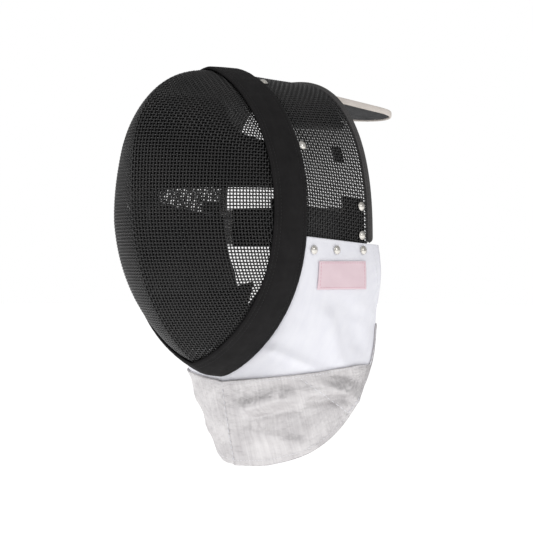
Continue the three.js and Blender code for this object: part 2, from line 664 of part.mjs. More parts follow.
// Domed rivets.
const nickel = finish(0xb8b4aa, 0.25, 1);
const RIVET_STANDOFF = 0.55;
const RIVET_OUTLINE = [[0, 0], [1, 0], [1, 0.24], [0.84, 0.62], [0.51, 0.9], [0, 1]];
const rivetProfile = RIVET_OUTLINE.map(([out, up]) => new THREE.Vector2(out * RIVET_RADIUS, up * RIVET_RISE));
function addRivet(name, point, outward) {
  const rivet = new THREE.Mesh(new THREE.LatheGeometry(rivetProfile, 16), nickel.clone());
  rivet.position.copy(point).addScaledVector(outward, RIVET_STANDOFF);
  rivet.quaternion.setFromUnitVectors(ROW_AXIS, outward);
  rivet.name = name;
  mask.add(rivet);
}
function surfaceRivet(name, surfaceAt, u, v) {
  const point = surfaceAt(u, v);
  addRivet(name, point, offsetPoint(surfaceAt, u, v, 1).sub(point).normalize());
}
const HOOD_RIVETS = [
  { place: "crown", u: 0.572, v: 0.285 },
  { place: "temple", u: 0.775, v: 0.27 },
  { place: "strap_upper", u: 0.9, v: 0.92 },
  { place: "strap_lower", u: 0.963, v: 0.92 },
];
for (const { place, u, v } of HOOD_RIVETS) {
  surfaceRivet(`rivet_${place}_left`, hoodPoint, u, v);
  surfaceRivet(`rivet_${place}_right`, hoodPoint, 1 - u, v);
}
const BIB_RIVETS = [0.804, 0.87, 0.95];
const BIB_RIVET_Z = BIB_TOP_Z - 5;
BIB_RIVETS.forEach((u, index) => {
  surfaceRivet(`rivet_bib_left_${index + 1}`, bibPoint, u, bibShareAt(u, BIB_RIVET_Z));
  surfaceRivet(`rivet_bib_right_${index + 1}`, bibPoint, 1 - u, bibShareAt(1 - u, BIB_RIVET_Z));
});

export default mask;
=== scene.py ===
import math

import bpy
import numpy as np
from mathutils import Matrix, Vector


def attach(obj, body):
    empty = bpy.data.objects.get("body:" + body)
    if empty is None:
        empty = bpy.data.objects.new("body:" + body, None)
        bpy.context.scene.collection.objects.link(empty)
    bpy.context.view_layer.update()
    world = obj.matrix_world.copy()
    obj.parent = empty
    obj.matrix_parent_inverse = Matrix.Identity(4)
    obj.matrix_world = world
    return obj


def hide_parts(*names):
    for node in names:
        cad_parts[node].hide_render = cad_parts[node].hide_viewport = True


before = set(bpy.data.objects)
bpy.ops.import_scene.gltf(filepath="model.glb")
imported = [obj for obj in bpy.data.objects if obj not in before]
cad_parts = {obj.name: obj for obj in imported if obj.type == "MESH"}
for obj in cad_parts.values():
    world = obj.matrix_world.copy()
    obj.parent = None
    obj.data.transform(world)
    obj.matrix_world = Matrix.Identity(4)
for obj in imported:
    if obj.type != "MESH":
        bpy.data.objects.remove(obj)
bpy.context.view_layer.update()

# Camera: a long lens level with the middle of the mask, turned to its left front.
CAMERA_TURN = math.radians(43.5)
CAMERA_DISTANCE = 2.2
CAMERA_AIM = Vector((0.035, -0.0093, -0.168))
CAMERA_LENS = 160.5

towards_camera = Vector((math.sin(CAMERA_TURN), -math.cos(CAMERA_TURN), 0))
bpy.ops.object.select_all(action="DESELECT")
bpy.ops.object.camera_add(location=CAMERA_AIM + CAMERA_DISTANCE * towards_camera)
camera = bpy.context.object
camera.rotation_euler = (-towards_camera).to_track_quat("-Z", "Y").to_euler()
camera.data.lens = CAMERA_LENS
camera.data.sensor_width = 36
bpy.context.scene.camera = camera

# Studio: a white tent, a pale glowing floor well below the hanging mask, one large soft lamp
# in front of it and a smaller one at its left side.
FLOOR_Z = -0.62
TENT_LIGHT = 0.48
FLOOR_GLOW = 0.68

bpy.ops.mesh.primitive_plane_add(size=40, location=(0, 0, FLOOR_Z))
floor = bpy.context.object
floor.name = "floor"
floor_finish = bpy.data.materials.new("pale_floor")
floor_finish.use_nodes = True
floor_nodes = floor_finish.node_tree.nodes
floor_links = floor_finish.node_tree.links
floor_coords = floor_nodes.new("ShaderNodeTexCoord")
floor_grain = floor_nodes.new("ShaderNodeTexNoise")
floor_grain.inputs["Scale"].default_value = 1.5
floor_tone = floor_nodes.new("ShaderNodeValToRGB")
floor_tone.color_ramp.elements[0].color = (0.9, 0.9, 0.9, 1)
floor_tone.color_ramp.elements[1].color = (0.94, 0.94, 0.94, 1)
floor_links.new(floor_coords.outputs["Object"], floor_grain.inputs["Vector"])
floor_links.new(floor_grain.outputs["Fac"], floor_tone.inputs["Fac"])
floor_shader = floor_nodes["Principled BSDF"]
floor_links.new(floor_tone.outputs["Color"], floor_shader.inputs["Base Color"])
floor_shader.inputs["Roughness"].default_value = 0.8
floor_shader.inputs["Emission Color"].default_value = (1, 1, 1, 1)
floor_shader.inputs["Emission Strength"].default_value = FLOOR_GLOW
floor.data.materials.append(floor_finish)

tent = bpy.data.worlds.new("white_tent")
tent.use_nodes = True
tent_nodes = tent.node_tree.nodes
tent_links = tent.node_tree.links
tent_seen = tent_nodes.new("ShaderNodeLightPath")
tent_level = tent_nodes.new("ShaderNodeMapRange")
tent_level.inputs["To Min"].default_value = TENT_LIGHT
tent_level.inputs["To Max"].default_value = 1.0
tent_nodes["Background"].inputs["Color"].default_value = (1, 1, 1, 1)
tent_links.new(tent_seen.outputs["Is Camera Ray"], tent_level.inputs["Value"])
tent_links.new(tent_level.outputs["Result"], tent_nodes["Background"].inputs["Strength"])
bpy.context.scene.world = tent
bpy.context.scene.view_settings.view_transform = "Standard"

for name, place, size, power in (
    ("front_lamp", Vector((-0.5, -1.9, 1.2)), 1.2, 19),
    ("side_lamp", Vector((1.9, -0.3, 0.7)), 1.0, 6),
):
    bpy.ops.object.light_add(type="AREA", location=place)
    lamp = bpy.context.object
    lamp.name = name
    lamp.data.shape = "DISK"
    lamp.data.size = size
    lamp.data.energy = power
    lamp.rotation_euler = (CAMERA_AIM - place).to_track_quat("-Z", "Y").to_euler()

# Wire face: steel wire woven flat in a square plain weave, pressed in a die to a creased
# prow, then painted black. The pressing swings the wires but can't stretch them, so
# every square keeps its sides and only leans where the wire draws in.
TOP_Z = 0.0135
CHIN_Z = -0.2645
WIDEST_Z = -0.129
HALF_WIDTH = 0.0955
DEEPEST_Z = -0.065
PROW_DEPTH = 0.1095
JOINT_TOP_Y = -0.032
JOINT_CHIN_Y = -0.052
WIRE_PITCH = 0.00305
WIRE_RADIUS = 0.00074
WEAVE_HALF = 0.0006
MESH_MIDDLE = 0.001
KNUCKLE_SHARE = 0.2
WIRE_END = 0.006


def oval_half_width(z):
    above = np.clip((z - WIDEST_Z) / (TOP_Z - WIDEST_Z), 0, 1)
    below = np.clip((WIDEST_Z - z) / (WIDEST_Z - CHIN_Z), 0, 1)
    return HALF_WIDTH * np.where(z > WIDEST_Z, (1 - above**2) ** 0.65, (1 - below**2.3) ** 0.75)


def joint_y(z):
    return JOINT_TOP_Y + (JOINT_CHIN_Y - JOINT_TOP_Y) * (TOP_Z - z) / (TOP_Z - CHIN_Z)


def prow_depth(z):
    above = np.clip((z - DEEPEST_Z) / (TOP_Z - DEEPEST_Z), 0, 1)
    below = np.clip((DEEPEST_Z - z) / (DEEPEST_Z - CHIN_Z), 0, 1)
    return PROW_DEPTH * np.where(z > DEEPEST_Z, (1 - above**2) ** 0.35, (1 - below**2.6) ** 0.8)


def prow_section(share, z):
    chinwards = np.clip((WIDEST_Z - z) / (WIDEST_Z - CHIN_Z), 0, 1)
    return (1 - np.clip(share, 0, 1) ** (1.3 - 0.2 * chinwards)) ** (0.5 + 0.1 * chinwards)


def face_depth(x, z):
    share = np.abs(x) / np.maximum(oval_half_width(z), 1e-6)
    return prow_depth(z) * prow_section(share, z)


def dome_point(across, up):
    """Face surface by the turn, in radians, across and up from its middle; past a quarter
    turn it runs straight back."""
    turn = np.hypot(across, up) + 1e-9
    reach = np.where(up > 0, TOP_Z - WIDEST_Z, WIDEST_Z - CHIN_Z) * up / turn
    share = np.sin(np.minimum(turn, 0.5 * math.pi))
    z = WIDEST_Z + share * reach
    x = share * np.sign(across) * oval_half_width(WIDEST_Z + reach)
    x = np.where(np.abs(across) < 1e-7, 0, x)
    y = joint_y(z) - face_depth(x, z) + 0.1 * np.maximum(turn - 0.5 * math.pi, 0)
    return np.stack([x, y, z], -1)


def lengths_along(points):
    steps = np.linalg.norm(np.diff(points, axis=0), axis=1)
    return np.concatenate([[0], np.cumsum(steps)])


def surface_normal(surface, first, second, away_from=(0, -0.02, -0.12), step=1e-3):
    """Unit normal of a surface of two numbers, on the side away from the head."""
    one = surface(first + step, second) - surface(first - step, second)
    other = surface(first, second + step) - surface(first, second - step)
    normal = np.cross(one, other)
    normal /= np.linalg.norm(normal, axis=-1, keepdims=True) + 1e-12
    outward = np.sum(normal * (surface(first, second) - np.array(away_from)), -1, keepdims=True)
    return np.where(outward < 0, -normal, normal)


FACE_LIMIT = 0.5 * math.pi + 0.25
dense = np.linspace(0, FACE_LIMIT, 1200)
zero = np.zeros_like(dense)


def pressed_quarter(upwards):
    """Turn numbers of the crossings in one quarter of the net: crossing (i, j) is the i-th
    from the crease and the j-th from the widest level, each a wire pitch from the last."""
    row_length = lengths_along(dome_point(dense, zero))
    crease_length = lengths_along(dome_point(zero, upwards * dense))
    columns = int(row_length[-1] / WIRE_PITCH)
    rows = int(crease_length[-1] / WIRE_PITCH)
    across = np.full((columns + 1, rows + 1), np.nan)
    up = across.copy()
    across[:, 0] = np.interp(np.arange(columns + 1) * WIRE_PITCH, row_length, dense)
    up[:, 0] = 0
    up[0] = upwards * np.interp(np.arange(rows + 1) * WIRE_PITCH, crease_length, dense)
    across[0] = 0
    for diagonal in range(2, columns + rows + 1):
        i = np.arange(max(1, diagonal - rows), min(columns, diagonal - 1) + 1)
        j = diagonal - i
        known = np.isfinite(across[i - 1, j]) & np.isfinite(across[i, j - 1])
        i, j = i[known], j[known]
        if not len(i):
            continue
        left = dome_point(across[i - 1, j], up[i - 1, j])
        below = dome_point(across[i, j - 1], up[i, j - 1])
        corner = dome_point(across[i - 1, j - 1], up[i - 1, j - 1])
        a = across[i - 1, j] + across[i, j - 1] - across[i - 1, j - 1]
        b = up[i - 1, j] + up[i, j - 1] - up[i - 1, j - 1]

        def misfit(a, b):
            here = dome_point(a, b)
            return np.stack([
                np.linalg.norm(here - left, axis=-1) - WIRE_PITCH,
                np.linalg.norm(here - below, axis=-1) - WIRE_PITCH,
            ], -1)

        for _ in range(14):
            miss = misfit(a, b)
            by_a = (misfit(a + 1e-5, b) - miss) / 1e-5
            by_b = (misfit(a, b + 1e-5) - miss) / 1e-5
            det = by_a[:, 0] * by_b[:, 1] - by_a[:, 1] * by_b[:, 0]
            det = np.where(np.abs(det) < 1e-7, 1e-7, det)
            step_a = (miss[:, 0] * by_b[:, 1] - miss[:, 1] * by_b[:, 0]) / det
            step_b = (by_a[:, 0] * miss[:, 1] - by_a[:, 1] * miss[:, 0]) / det
            scale = np.minimum(1, 0.02 / (np.hypot(step_a, step_b) + 1e-12))
            a, b = a - scale * step_a, b - scale * step_b
        miss = np.abs(misfit(a, b)).max(-1)
        apart = np.linalg.norm(dome_point(a, b) - corner, axis=-1)
        good = (miss < 0.1 * WIRE_PITCH) & (apart > 0.4 * WIRE_PITCH) & (np.hypot(a, b) < FACE_LIMIT)
        across[i[good], j[good]] = a[good]
        up[i[good], j[good]] = b[good]
    return across, up


upper_across, upper_up = pressed_quarter(1)
lower_across, lower_up = pressed_quarter(-1)
half_across = np.hstack([lower_across[:, :0:-1], upper_across])
half_up = np.hstack([lower_up[:, :0:-1], upper_up])
face_across = np.vstack([-half_across[:0:-1], half_across])
face_up = np.vstack([half_up[:0:-1], half_up])
face_normals = surface_normal(dome_point, face_across, face_up)
face_nodes = dome_point(face_across, face_up)
in_front = face_nodes[..., 1] < joint_y(face_nodes[..., 2]) - WIRE_END
on_face = np.isfinite(face_across) & (np.hypot(face_across, face_up) < 0.5 * math.pi) & in_front
face_nodes -= MESH_MIDDLE * face_normals


def pick(piece):
    bpy.ops.object.select_all(action="DESELECT")
    bpy.context.view_layer.objects.active = piece
    piece.select_set(True)


def weave_wires(name, nodes, normals, present, side):
    """Lays one family of round wires through rows of crossings, over and under in turn,
    with a short straight knuckle at each crossing."""
    wires = bpy.data.curves.new(name, "CURVE")
    wires.dimensions = "3D"
    wires.bevel_depth = WIRE_RADIUS
    wires.bevel_resolution = 1
    wires.use_fill_caps = True
    for row in range(nodes.shape[0]):
        columns = np.flatnonzero(present[row])
        if len(columns) < 3:
            continue
        columns = np.arange(columns[0], columns[-1] + 1)
        columns = columns[np.isfinite(nodes[row, columns, 0])]
        middle = nodes[row, columns]
        ahead = np.vstack([middle[1:], 2 * middle[-1:] - middle[-2:-1]]) - middle
        behind = np.vstack([2 * middle[:1] - middle[1:2], middle[:-1]]) - middle
        wave = side * WEAVE_HALF * (1 - 2 * ((row + columns) % 2))[:, None] * normals[row, columns]
        knuckle = np.stack([middle + KNUCKLE_SHARE * behind + wave, middle + KNUCKLE_SHARE * ahead + wave], 1)
        path = knuckle.reshape(-1, 3)
        wire = wires.splines.new("POLY")
        wire.points.add(len(path) - 1)
        wire.points.foreach_set("co", np.hstack([path, np.ones((len(path), 1))]).ravel())
        wire.use_smooth = True
    piece = bpy.data.objects.new(name, wires)
    bpy.context.collection.objects.link(piece)
    pick(piece)
    bpy.ops.object.convert(target="MESH")
    return bpy.context.object


def fit(piece, finishes, slot, *nodes):
    """Puts a piece on the mask, in its finishes, in place of the plain bodies it stands for."""
    for finish in finishes if isinstance(finishes, list) else [finishes]:
        piece.data.materials.append(finish)
    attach(piece, "root")
    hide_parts(*nodes)


def new_finish(name, colour, roughness):
    finish = bpy.data.materials.new(name)
    finish.use_nodes = True
    shader = finish.node_tree.nodes["Principled BSDF"]
    shader.inputs["Base Color"].default_value = (*colour, 1)
    shader.inputs["Roughness"].default_value = roughness
    return finish, finish.node_tree.nodes, finish.node_tree.links, shader


def new_effect(name, inputs, outputs):
    """An empty shader group with plain inputs (name, kind, value) and outputs (name, kind)."""
    effect = bpy.data.node_groups.new(name, "ShaderNodeTree")
    for label, kind, value in inputs:
        socket = effect.interface.new_socket(label, in_out="INPUT", socket_type=f"NodeSocket{kind}")
        if value is not None:
            socket.default_value = value
    for label, kind in outputs:
        effect.interface.new_socket(label, in_out="OUTPUT", socket_type=f"NodeSocket{kind}")
    return effect, effect.nodes.new("NodeGroupInput"), effect.nodes.new("NodeGroupOutput")


# Mottling: a value that drifts between two numbers over the surface, broad and fine.
mottle, mottle_in, mottle_out = new_effect(
    "mottle",
    [("Vector", "Vector", None), ("Size", "Float", 40.0), ("Low", "Float", 0.0), ("High", "Float", 1.0)],
    [("Value", "Float")],
)
mottle_noise = mottle.nodes.new("ShaderNodeTexNoise")
mottle_noise.inputs["Detail"].default_value = 4
mottle_range = mottle.nodes.new("ShaderNodeMapRange")
mottle_range.inputs["From Min"].default_value = 0.3
mottle_range.inputs["From Max"].default_value = 0.7
mottle.links.new(mottle_in.outputs["Vector"], mottle_noise.inputs["Vector"])
mottle.links.new(mottle_in.outputs["Size"], mottle_noise.inputs["Scale"])
mottle.links.new(mottle_noise.outputs["Fac"], mottle_range.inputs["Value"])
mottle.links.new(mottle_in.outputs["Low"], mottle_range.inputs["To Min"])
mottle.links.new(mottle_in.outputs["High"], mottle_range.inputs["To Max"])
mottle.links.new(mottle_range.outputs["Result"], mottle_out.inputs["Value"])


def place_mottle(finish, coordinates, size, low, high):
    nodes, links = finish.node_tree.nodes, finish.node_tree.links
    coords = nodes.new("ShaderNodeTexCoord")
    drift = nodes.new("ShaderNodeGroup")
    drift.node_tree = mottle
    links.new(coords.outputs[coordinates], drift.inputs["Vector"])
    drift.inputs["Size"].default_value = size
    drift.inputs["Low"].default_value = low
    drift.inputs["High"].default_value = high
    return drift.outputs["Value"]


def tint(finish, value, dark, light):
    """Colours a finish between two tones by a value that changes over the surface."""
    nodes, links = finish.node_tree.nodes, finish.node_tree.links
    blend = nodes.new("ShaderNodeMix")
    blend.data_type = "RGBA"
    links.new(value, blend.inputs["Factor"])
    blend.inputs["A"].default_value = (*dark, 1)
    blend.inputs["B"].default_value = (*light, 1)
    links.new(blend.outputs["Result"], nodes["Principled BSDF"].inputs["Base Color"])


def painted(name, metallic, gloss, roughness, tone, dark, light):
    """Bare or painted metal: gloss and tone drift over it, each at its own size."""
    finish, nodes, links, shader = new_finish(name, dark, roughness[0])
    shader.inputs["Metallic"].default_value = metallic
    links.new(place_mottle(finish, "Object", gloss, *roughness), shader.inputs["Roughness"])
    tint(finish, place_mottle(finish, "Object", tone, 0, 1), dark, light)
    return finish


black_wire = painted(
    "black_wire_paint", 0, 90, (0.24, 0.42), 35, (0.004, 0.004, 0.0045), (0.010, 0.009, 0.009)
)

face_uprights = weave_wires("face_upright_wires", face_nodes, face_normals, on_face, 1)
face_levels = weave_wires(
    "face_level_wires", face_nodes.swapaxes(0, 1), face_normals.swapaxes(0, 1), on_face.T, -1
)
for wires in (face_uprights, face_levels):
    fit(wires, black_wire, "wire_mesh", "face_mesh")

# Wire hood: a strip of the same mesh bent over the crown and down both sides. One family
# of wires runs from the joint back to the rim, the other over the crown beside the rim.
RIM_Y = 0.062
RIM_TOP_Z = 0.0065
RIM_CENTRE_Z = -0.144
RIM_HALF_WIDTH = 0.097
HOOD_LOWER_Z = -0.156
JOINT_SHARE = 0.2735
HOOD_ROWS = 32


def evenly(dense_points):
    """A line through points, as a function of the share of its length."""
    length = lengths_along(dense_points)

    def at(share):
        share = np.asarray(share, float) * length[-1]
        return np.stack([np.interp(share, length, dense_points[:, k]) for k in range(3)], -1)

    at.length = length[-1]
    return at


turns = np.linspace(0, 2 * math.pi, 2401)
oval_z = WIDEST_Z + np.where(np.cos(turns) > 0, TOP_Z - WIDEST_Z, WIDEST_Z - CHIN_Z) * np.cos(turns)
oval_x = np.sign(np.sin(turns)) * oval_half_width(oval_z)
oval_x[[0, 1200, 2400]] = 0
joint_line = evenly(np.stack([oval_x, joint_y(oval_z), oval_z], -1))
turns = np.linspace(-0.5 * math.pi, 0.5 * math.pi, 2401)
rim_x = RIM_HALF_WIDTH * np.sign(turns) * np.abs(np.sin(turns)) ** (2 / 2.4)
rim_z = RIM_CENTRE_Z + (RIM_TOP_Z - RIM_CENTRE_Z) * np.abs(np.cos(turns)) ** (2 / 2.4)
rim_line = evenly(np.stack([rim_x, np.full_like(rim_x, RIM_Y), rim_z], -1))


def outward_of(line, share, low=0.0, high=1.0):
    """Unit normal of a flat line in the frontal plane, away from the head."""
    share = np.asarray(share, float)
    before, after = share - 5e-4, share + 5e-4
    if low == 0.0:
        before, after = before % 1, after % 1
    along = line(np.clip(after, low, high)) - line(np.clip(before, low, high))
    outward = np.stack([-along[..., 2], np.zeros_like(share), along[..., 0]], -1)
    return outward / np.linalg.norm(outward, axis=-1, keepdims=True)


def joint_point(u):
    return joint_line((np.asarray(u) - 0.5) * 2 * JOINT_SHARE % 1)


def rim_point(u):
    drop = RIM_CENTRE_Z - HOOD_LOWER_Z
    along = np.clip(u, 0, 1) * (rim_line.length + 2 * drop) - drop
    point = rim_line(np.clip(along / rim_line.length, 0, 1))
    point[..., 2] -= np.maximum(0, np.maximum(-along, along - rim_line.length))
    return point


def hood_point(u, v):
    v = np.asarray(v, float)[..., None]
    return joint_point(u) * (1 - v) + rim_point(u) * v


hood_columns = round((rim_line.length + 2 * (RIM_CENTRE_Z - HOOD_LOWER_Z)) / WIRE_PITCH)
hood_u, hood_v = np.meshgrid(
    np.linspace(0.003, 0.997, hood_columns), np.linspace(0.02, 0.99, HOOD_ROWS), indexing="ij"
)
hood_normals = surface_normal(hood_point, hood_u, hood_v)
hood_nodes = hood_point(hood_u, hood_v) - MESH_MIDDLE * hood_normals
everywhere = np.ones_like(hood_u, bool)
hood_long = weave_wires("hood_long_wires", hood_nodes, hood_normals, everywhere, 1)
hood_round = weave_wires(
    "hood_round_wires", hood_nodes.swapaxes(0, 1), hood_normals.swapaxes(0, 1), everywhere.T, -1
)
for wires in (hood_long, hood_round):
    fit(wires, black_wire, "wire_mesh", "side_mesh")

# Trim band: one strip of black cloth folded round the joint of face and hood, with both
# long edges turned in and held by two rows of machine stitches.
BAND_FRONT = 0.020
BAND_REAR = 0.0195
BAND_GAP = 0.0013
BAND_THICKNESS = 0.0024
BAND_COLUMNS = 260
BAND_SIDES = 96
BAND_STITCH_ROWS = (0.0022, 0.0058)
GROOVE_DEPTH = 0.0003
GROOVE_WIDTH = 0.0009
STITCH_PITCH = 0.0032
STITCH_LENGTH = 0.0023
STITCH_RADIUS = 0.00026


def new_grid(name, columns, rows):
    bpy.ops.object.select_all(action="DESELECT")
    bpy.ops.mesh.primitive_grid_add(x_subdivisions=columns, y_subdivisions=rows, size=1)
    piece = bpy.context.object
    piece.name = piece.data.name = name
    return piece


def shape_grid(name, surface, columns, rows, width, length):
    """A grid laid on a surface of two shares, with its seams and poles closed. Its map is
    in metres of cloth."""
    piece = new_grid(name, columns, rows)
    return drape_on(piece, lambda u, v, top: surface(u, v), width, length)


def sew_form(name, outer, inner, columns, rows, width, length, two_sided=False):
    """A closed form between an outer and an inner surface of two shares. A two sided form
    has a second finish on its outer side."""
    piece = new_grid(name, columns, rows)
    bpy.ops.object.mode_set(mode="EDIT")
    bpy.ops.mesh.select_all(action="SELECT")
    bpy.ops.mesh.extrude_region_move(TRANSFORM_OT_translate={"value": (0, 0, 1)})
    bpy.ops.object.mode_set(mode="OBJECT")

    def both(u, v, top):
        return np.where(top[:, None], outer(u, v), inner(u, v))

    return drape_on(piece, both, width, length, two_sided)


def drape_on(piece, surface, width, length, two_sided=False):
    mesh = piece.data
    flat = np.zeros(len(mesh.vertices) * 3)
    mesh.vertices.foreach_get("co", flat)
    flat = flat.reshape(-1, 3)
    u = np.clip(flat[:, 0] + 0.5, 0, 1)
    v = np.clip(flat[:, 1] + 0.5, 0, 1)
    top = flat[:, 2] > 0.5
    corners = np.zeros(len(mesh.loops), int)
    mesh.loops.foreach_get("vertex_index", corners)
    chart = np.stack([u[corners] * width, v[corners] * length], -1)
    mesh.uv_layers.active.data.foreach_set("uv", chart.ravel())
    if two_sided:
        for face in mesh.polygons:
            face.material_index = int(all(top[i] for i in face.vertices))
    mesh.vertices.foreach_set("co", surface(u, v, top).ravel())
    bpy.ops.object.mode_set(mode="EDIT")
    bpy.ops.mesh.select_all(action="SELECT")
    bpy.ops.mesh.remove_doubles(threshold=1e-6)
    bpy.ops.mesh.normals_make_consistent(inside=False)
    bpy.ops.object.mode_set(mode="OBJECT")
    bpy.ops.object.shade_smooth()
    return piece


def apply_modifier(piece, kind, **values):
    modifier = piece.modifiers.new(kind.lower(), kind)
    for key, value in values.items():
        setattr(modifier, key, value)
    pick(piece)
    bpy.ops.object.modifier_apply(modifier=modifier.name)


def sew_stitches(name, path, normals, size=1.0):
    """A row of short threads along a path, each sunk a little into the cloth."""
    bpy.ops.object.select_all(action="DESELECT")
    bpy.ops.mesh.primitive_uv_sphere_add(segments=6, ring_count=4, radius=1)
    one = bpy.context.object
    shape = np.array([vertex.co for vertex in one.data.vertices])
    faces = [list(face.vertices) for face in one.data.polygons]
    bpy.data.objects.remove(one)
    length = lengths_along(path)
    count = int(length[-1] / (size * STITCH_PITCH))
    at = (np.arange(count) + 0.5) * size * STITCH_PITCH
    middle = np.stack([np.interp(at, length, path[:, k]) for k in range(3)], -1)
    ahead = np.stack([np.interp(at + STITCH_RADIUS, length, path[:, k]) for k in range(3)], -1) - middle
    ahead /= np.linalg.norm(ahead, axis=1, keepdims=True)
    up = np.stack([np.interp(at, length, normals[:, k]) for k in range(3)], -1)
    up /= np.linalg.norm(up, axis=1, keepdims=True)
    side = np.cross(up, ahead)
    points = (
        middle[:, None]
        + shape[None, :, 2:] * 0.5 * size * STITCH_LENGTH * ahead[:, None]
        + shape[None, :, :1] * size * STITCH_RADIUS * side[:, None]
        + shape[None, :, 1:2] * size * STITCH_RADIUS * up[:, None]
    ).reshape(-1, 3)
    every = [[i + n * len(shape) for i in face] for n in range(count) for face in faces]
    mesh = bpy.data.meshes.new(name)
    mesh.from_pydata(points.tolist(), [], every)
    piece = bpy.data.objects.new(name, mesh)
    bpy.context.collection.objects.link(piece)
    pick(piece)
    bpy.ops.object.mode_set(mode="EDIT")
    bpy.ops.mesh.select_all(action="SELECT")
    bpy.ops.mesh.normals_make_consistent(inside=False)
    bpy.ops.object.mode_set(mode="OBJECT")
    bpy.ops.object.shade_smooth()
    return piece


def join_pieces(name, pieces):
    bpy.ops.object.select_all(action="DESELECT")
    for piece in pieces:
        piece.select_set(True)
    bpy.context.view_layer.objects.active = pieces[0]
    bpy.ops.object.join()
    pieces[0].name = pieces[0].data.name = name
    return pieces[0]


def band_point(t, along, rise):
    t = t % 1
    joint = joint_line(t)
    outward = outward_of(joint_line, t)
    near = np.zeros_like(t)
    far = np.full_like(t, 0.03)
    for _ in range(22):
        middle = 0.5 * (near + far)
        reached = face_depth(joint[:, 0] - outward[:, 0] * middle, joint[:, 2] - outward[:, 2] * middle)
        near = np.where(reached < -along, middle, near)
        far = np.where(reached < -along, far, middle)
    u = np.clip(0.5 + 0.5 * np.where(t > 0.5, t - 1, t) / JOINT_SHARE, 0, 1)
    start = joint_point(u)
    hood = hood_point(u, np.maximum(along, 0) / (RIM_Y - start[:, 1]))
    flare = np.maximum(0, np.sum((hood - start) * outward, -1))
    shift = np.where(along < 0, -far, flare)
    point = joint + (rise + shift)[:, None] * outward
    point[:, 1] += along
    return point


def band_relief(along):
    """Rounded edges and a shallow groove under each row of stitches."""
    from_edge = np.minimum(along + BAND_FRONT, BAND_REAR - along)
    relief = -0.0009 * np.exp(-((from_edge / 0.0008) ** 2))
    for row in BAND_STITCH_ROWS:
        relief -= GROOVE_DEPTH * np.exp(-(((from_edge - row) / GROOVE_WIDTH) ** 2))
    return relief


def band_surface(u, v):
    outside = v <= 0.5
    along = np.where(outside, -BAND_FRONT + 2 * v * (BAND_FRONT + BAND_REAR), 0)
    along = np.where(outside, along, BAND_REAR - (2 * v - 1) * (BAND_FRONT + BAND_REAR))
    pucker = 0.00012 * np.sin(u * 2 * math.pi * 70) * np.sin(u * 2 * math.pi * 23 + 1)
    rise = BAND_GAP + np.where(outside & (v > 0), BAND_THICKNESS + band_relief(along) + pucker, 0)
    rise = np.where(v == 0, BAND_GAP, rise)
    return band_point(u, along, rise)


def cloth(name, dark, light, threads, depth, roughness, specular=0.3):
    """Woven cloth: threads in both directions with tone and gloss that drift a little, and painted shade that
    darkens the colour in the gaps between the threads.
    """
    finish, nodes, links, shader = new_finish(name, dark, roughness)
    coords = nodes.new("ShaderNodeTexCoord")
    weave = nodes.new("ShaderNodeGroup")
    weave.node_tree = thread_weave
    links.new(coords.outputs["UV"], weave.inputs["Vector"])
    weave.inputs["Threads"].default_value = threads
    bump = nodes.new("ShaderNodeBump")
    bump.inputs["Strength"].default_value = 0.6
    bump.inputs["Distance"].default_value = depth
    links.new(weave.outputs["Height"], bump.inputs["Height"])
    links.new(bump.outputs["Normal"], shader.inputs["Normal"])
    # Painted shade: the weave height darkens the colour in the gaps between threads, on top of a tone that
    # drifts at random.
    painted_gap_shade_and_tone = nodes.new("ShaderNodeMath")
    painted_gap_shade_and_tone.operation = "MULTIPLY_ADD"
    links.new(weave.outputs["Height"], painted_gap_shade_and_tone.inputs[0])
    painted_gap_shade_and_tone.inputs[1].default_value = 0.5
    links.new(place_mottle(finish, "UV", 60, 0.0, 0.5), painted_gap_shade_and_tone.inputs[2])
    tint(finish, painted_gap_shade_and_tone.outputs["Value"], dark, light)
    links.new(
        place_mottle(finish, "UV", 140, roughness - 0.06, min(1, roughness + 0.06)),
        shader.inputs["Roughness"],
    )
    shader.inputs["Specular IOR Level"].default_value = specular
    return finish


# Weave: crossing threads as a height from 0 in the gaps to 1 on the threads.
thread_weave, weave_in, weave_out = new_effect(
    "thread_weave", [("Vector", "Vector", None), ("Threads", "Float", 1000.0)], [("Height", "Float")]
)


def calculate(effect, operation, *terms):
    node = effect.nodes.new("ShaderNodeMath")
    node.operation = operation
    for socket, term in zip(node.inputs, terms):
        if isinstance(term, float):
            socket.default_value = term
        else:
            effect.links.new(term, socket)
    return node.outputs["Value"]


weave_scale = thread_weave.nodes.new("ShaderNodeVectorMath")
weave_scale.operation = "SCALE"
weave_parts = thread_weave.nodes.new("ShaderNodeSeparateXYZ")
thread_weave.links.new(weave_in.outputs["Vector"], weave_scale.inputs[0])
thread_weave.links.new(weave_in.outputs["Threads"], weave_scale.inputs["Scale"])
thread_weave.links.new(weave_scale.outputs["Vector"], weave_parts.inputs["Vector"])
weave_waves = []
for axis in "XY":
    phase = calculate(thread_weave, "MULTIPLY", weave_parts.outputs[axis], math.pi)
    weave_waves.append(calculate(thread_weave, "ABSOLUTE", calculate(thread_weave, "SINE", phase)))
thread_weave.links.new(calculate(thread_weave, "MULTIPLY", *weave_waves), weave_out.inputs["Height"])

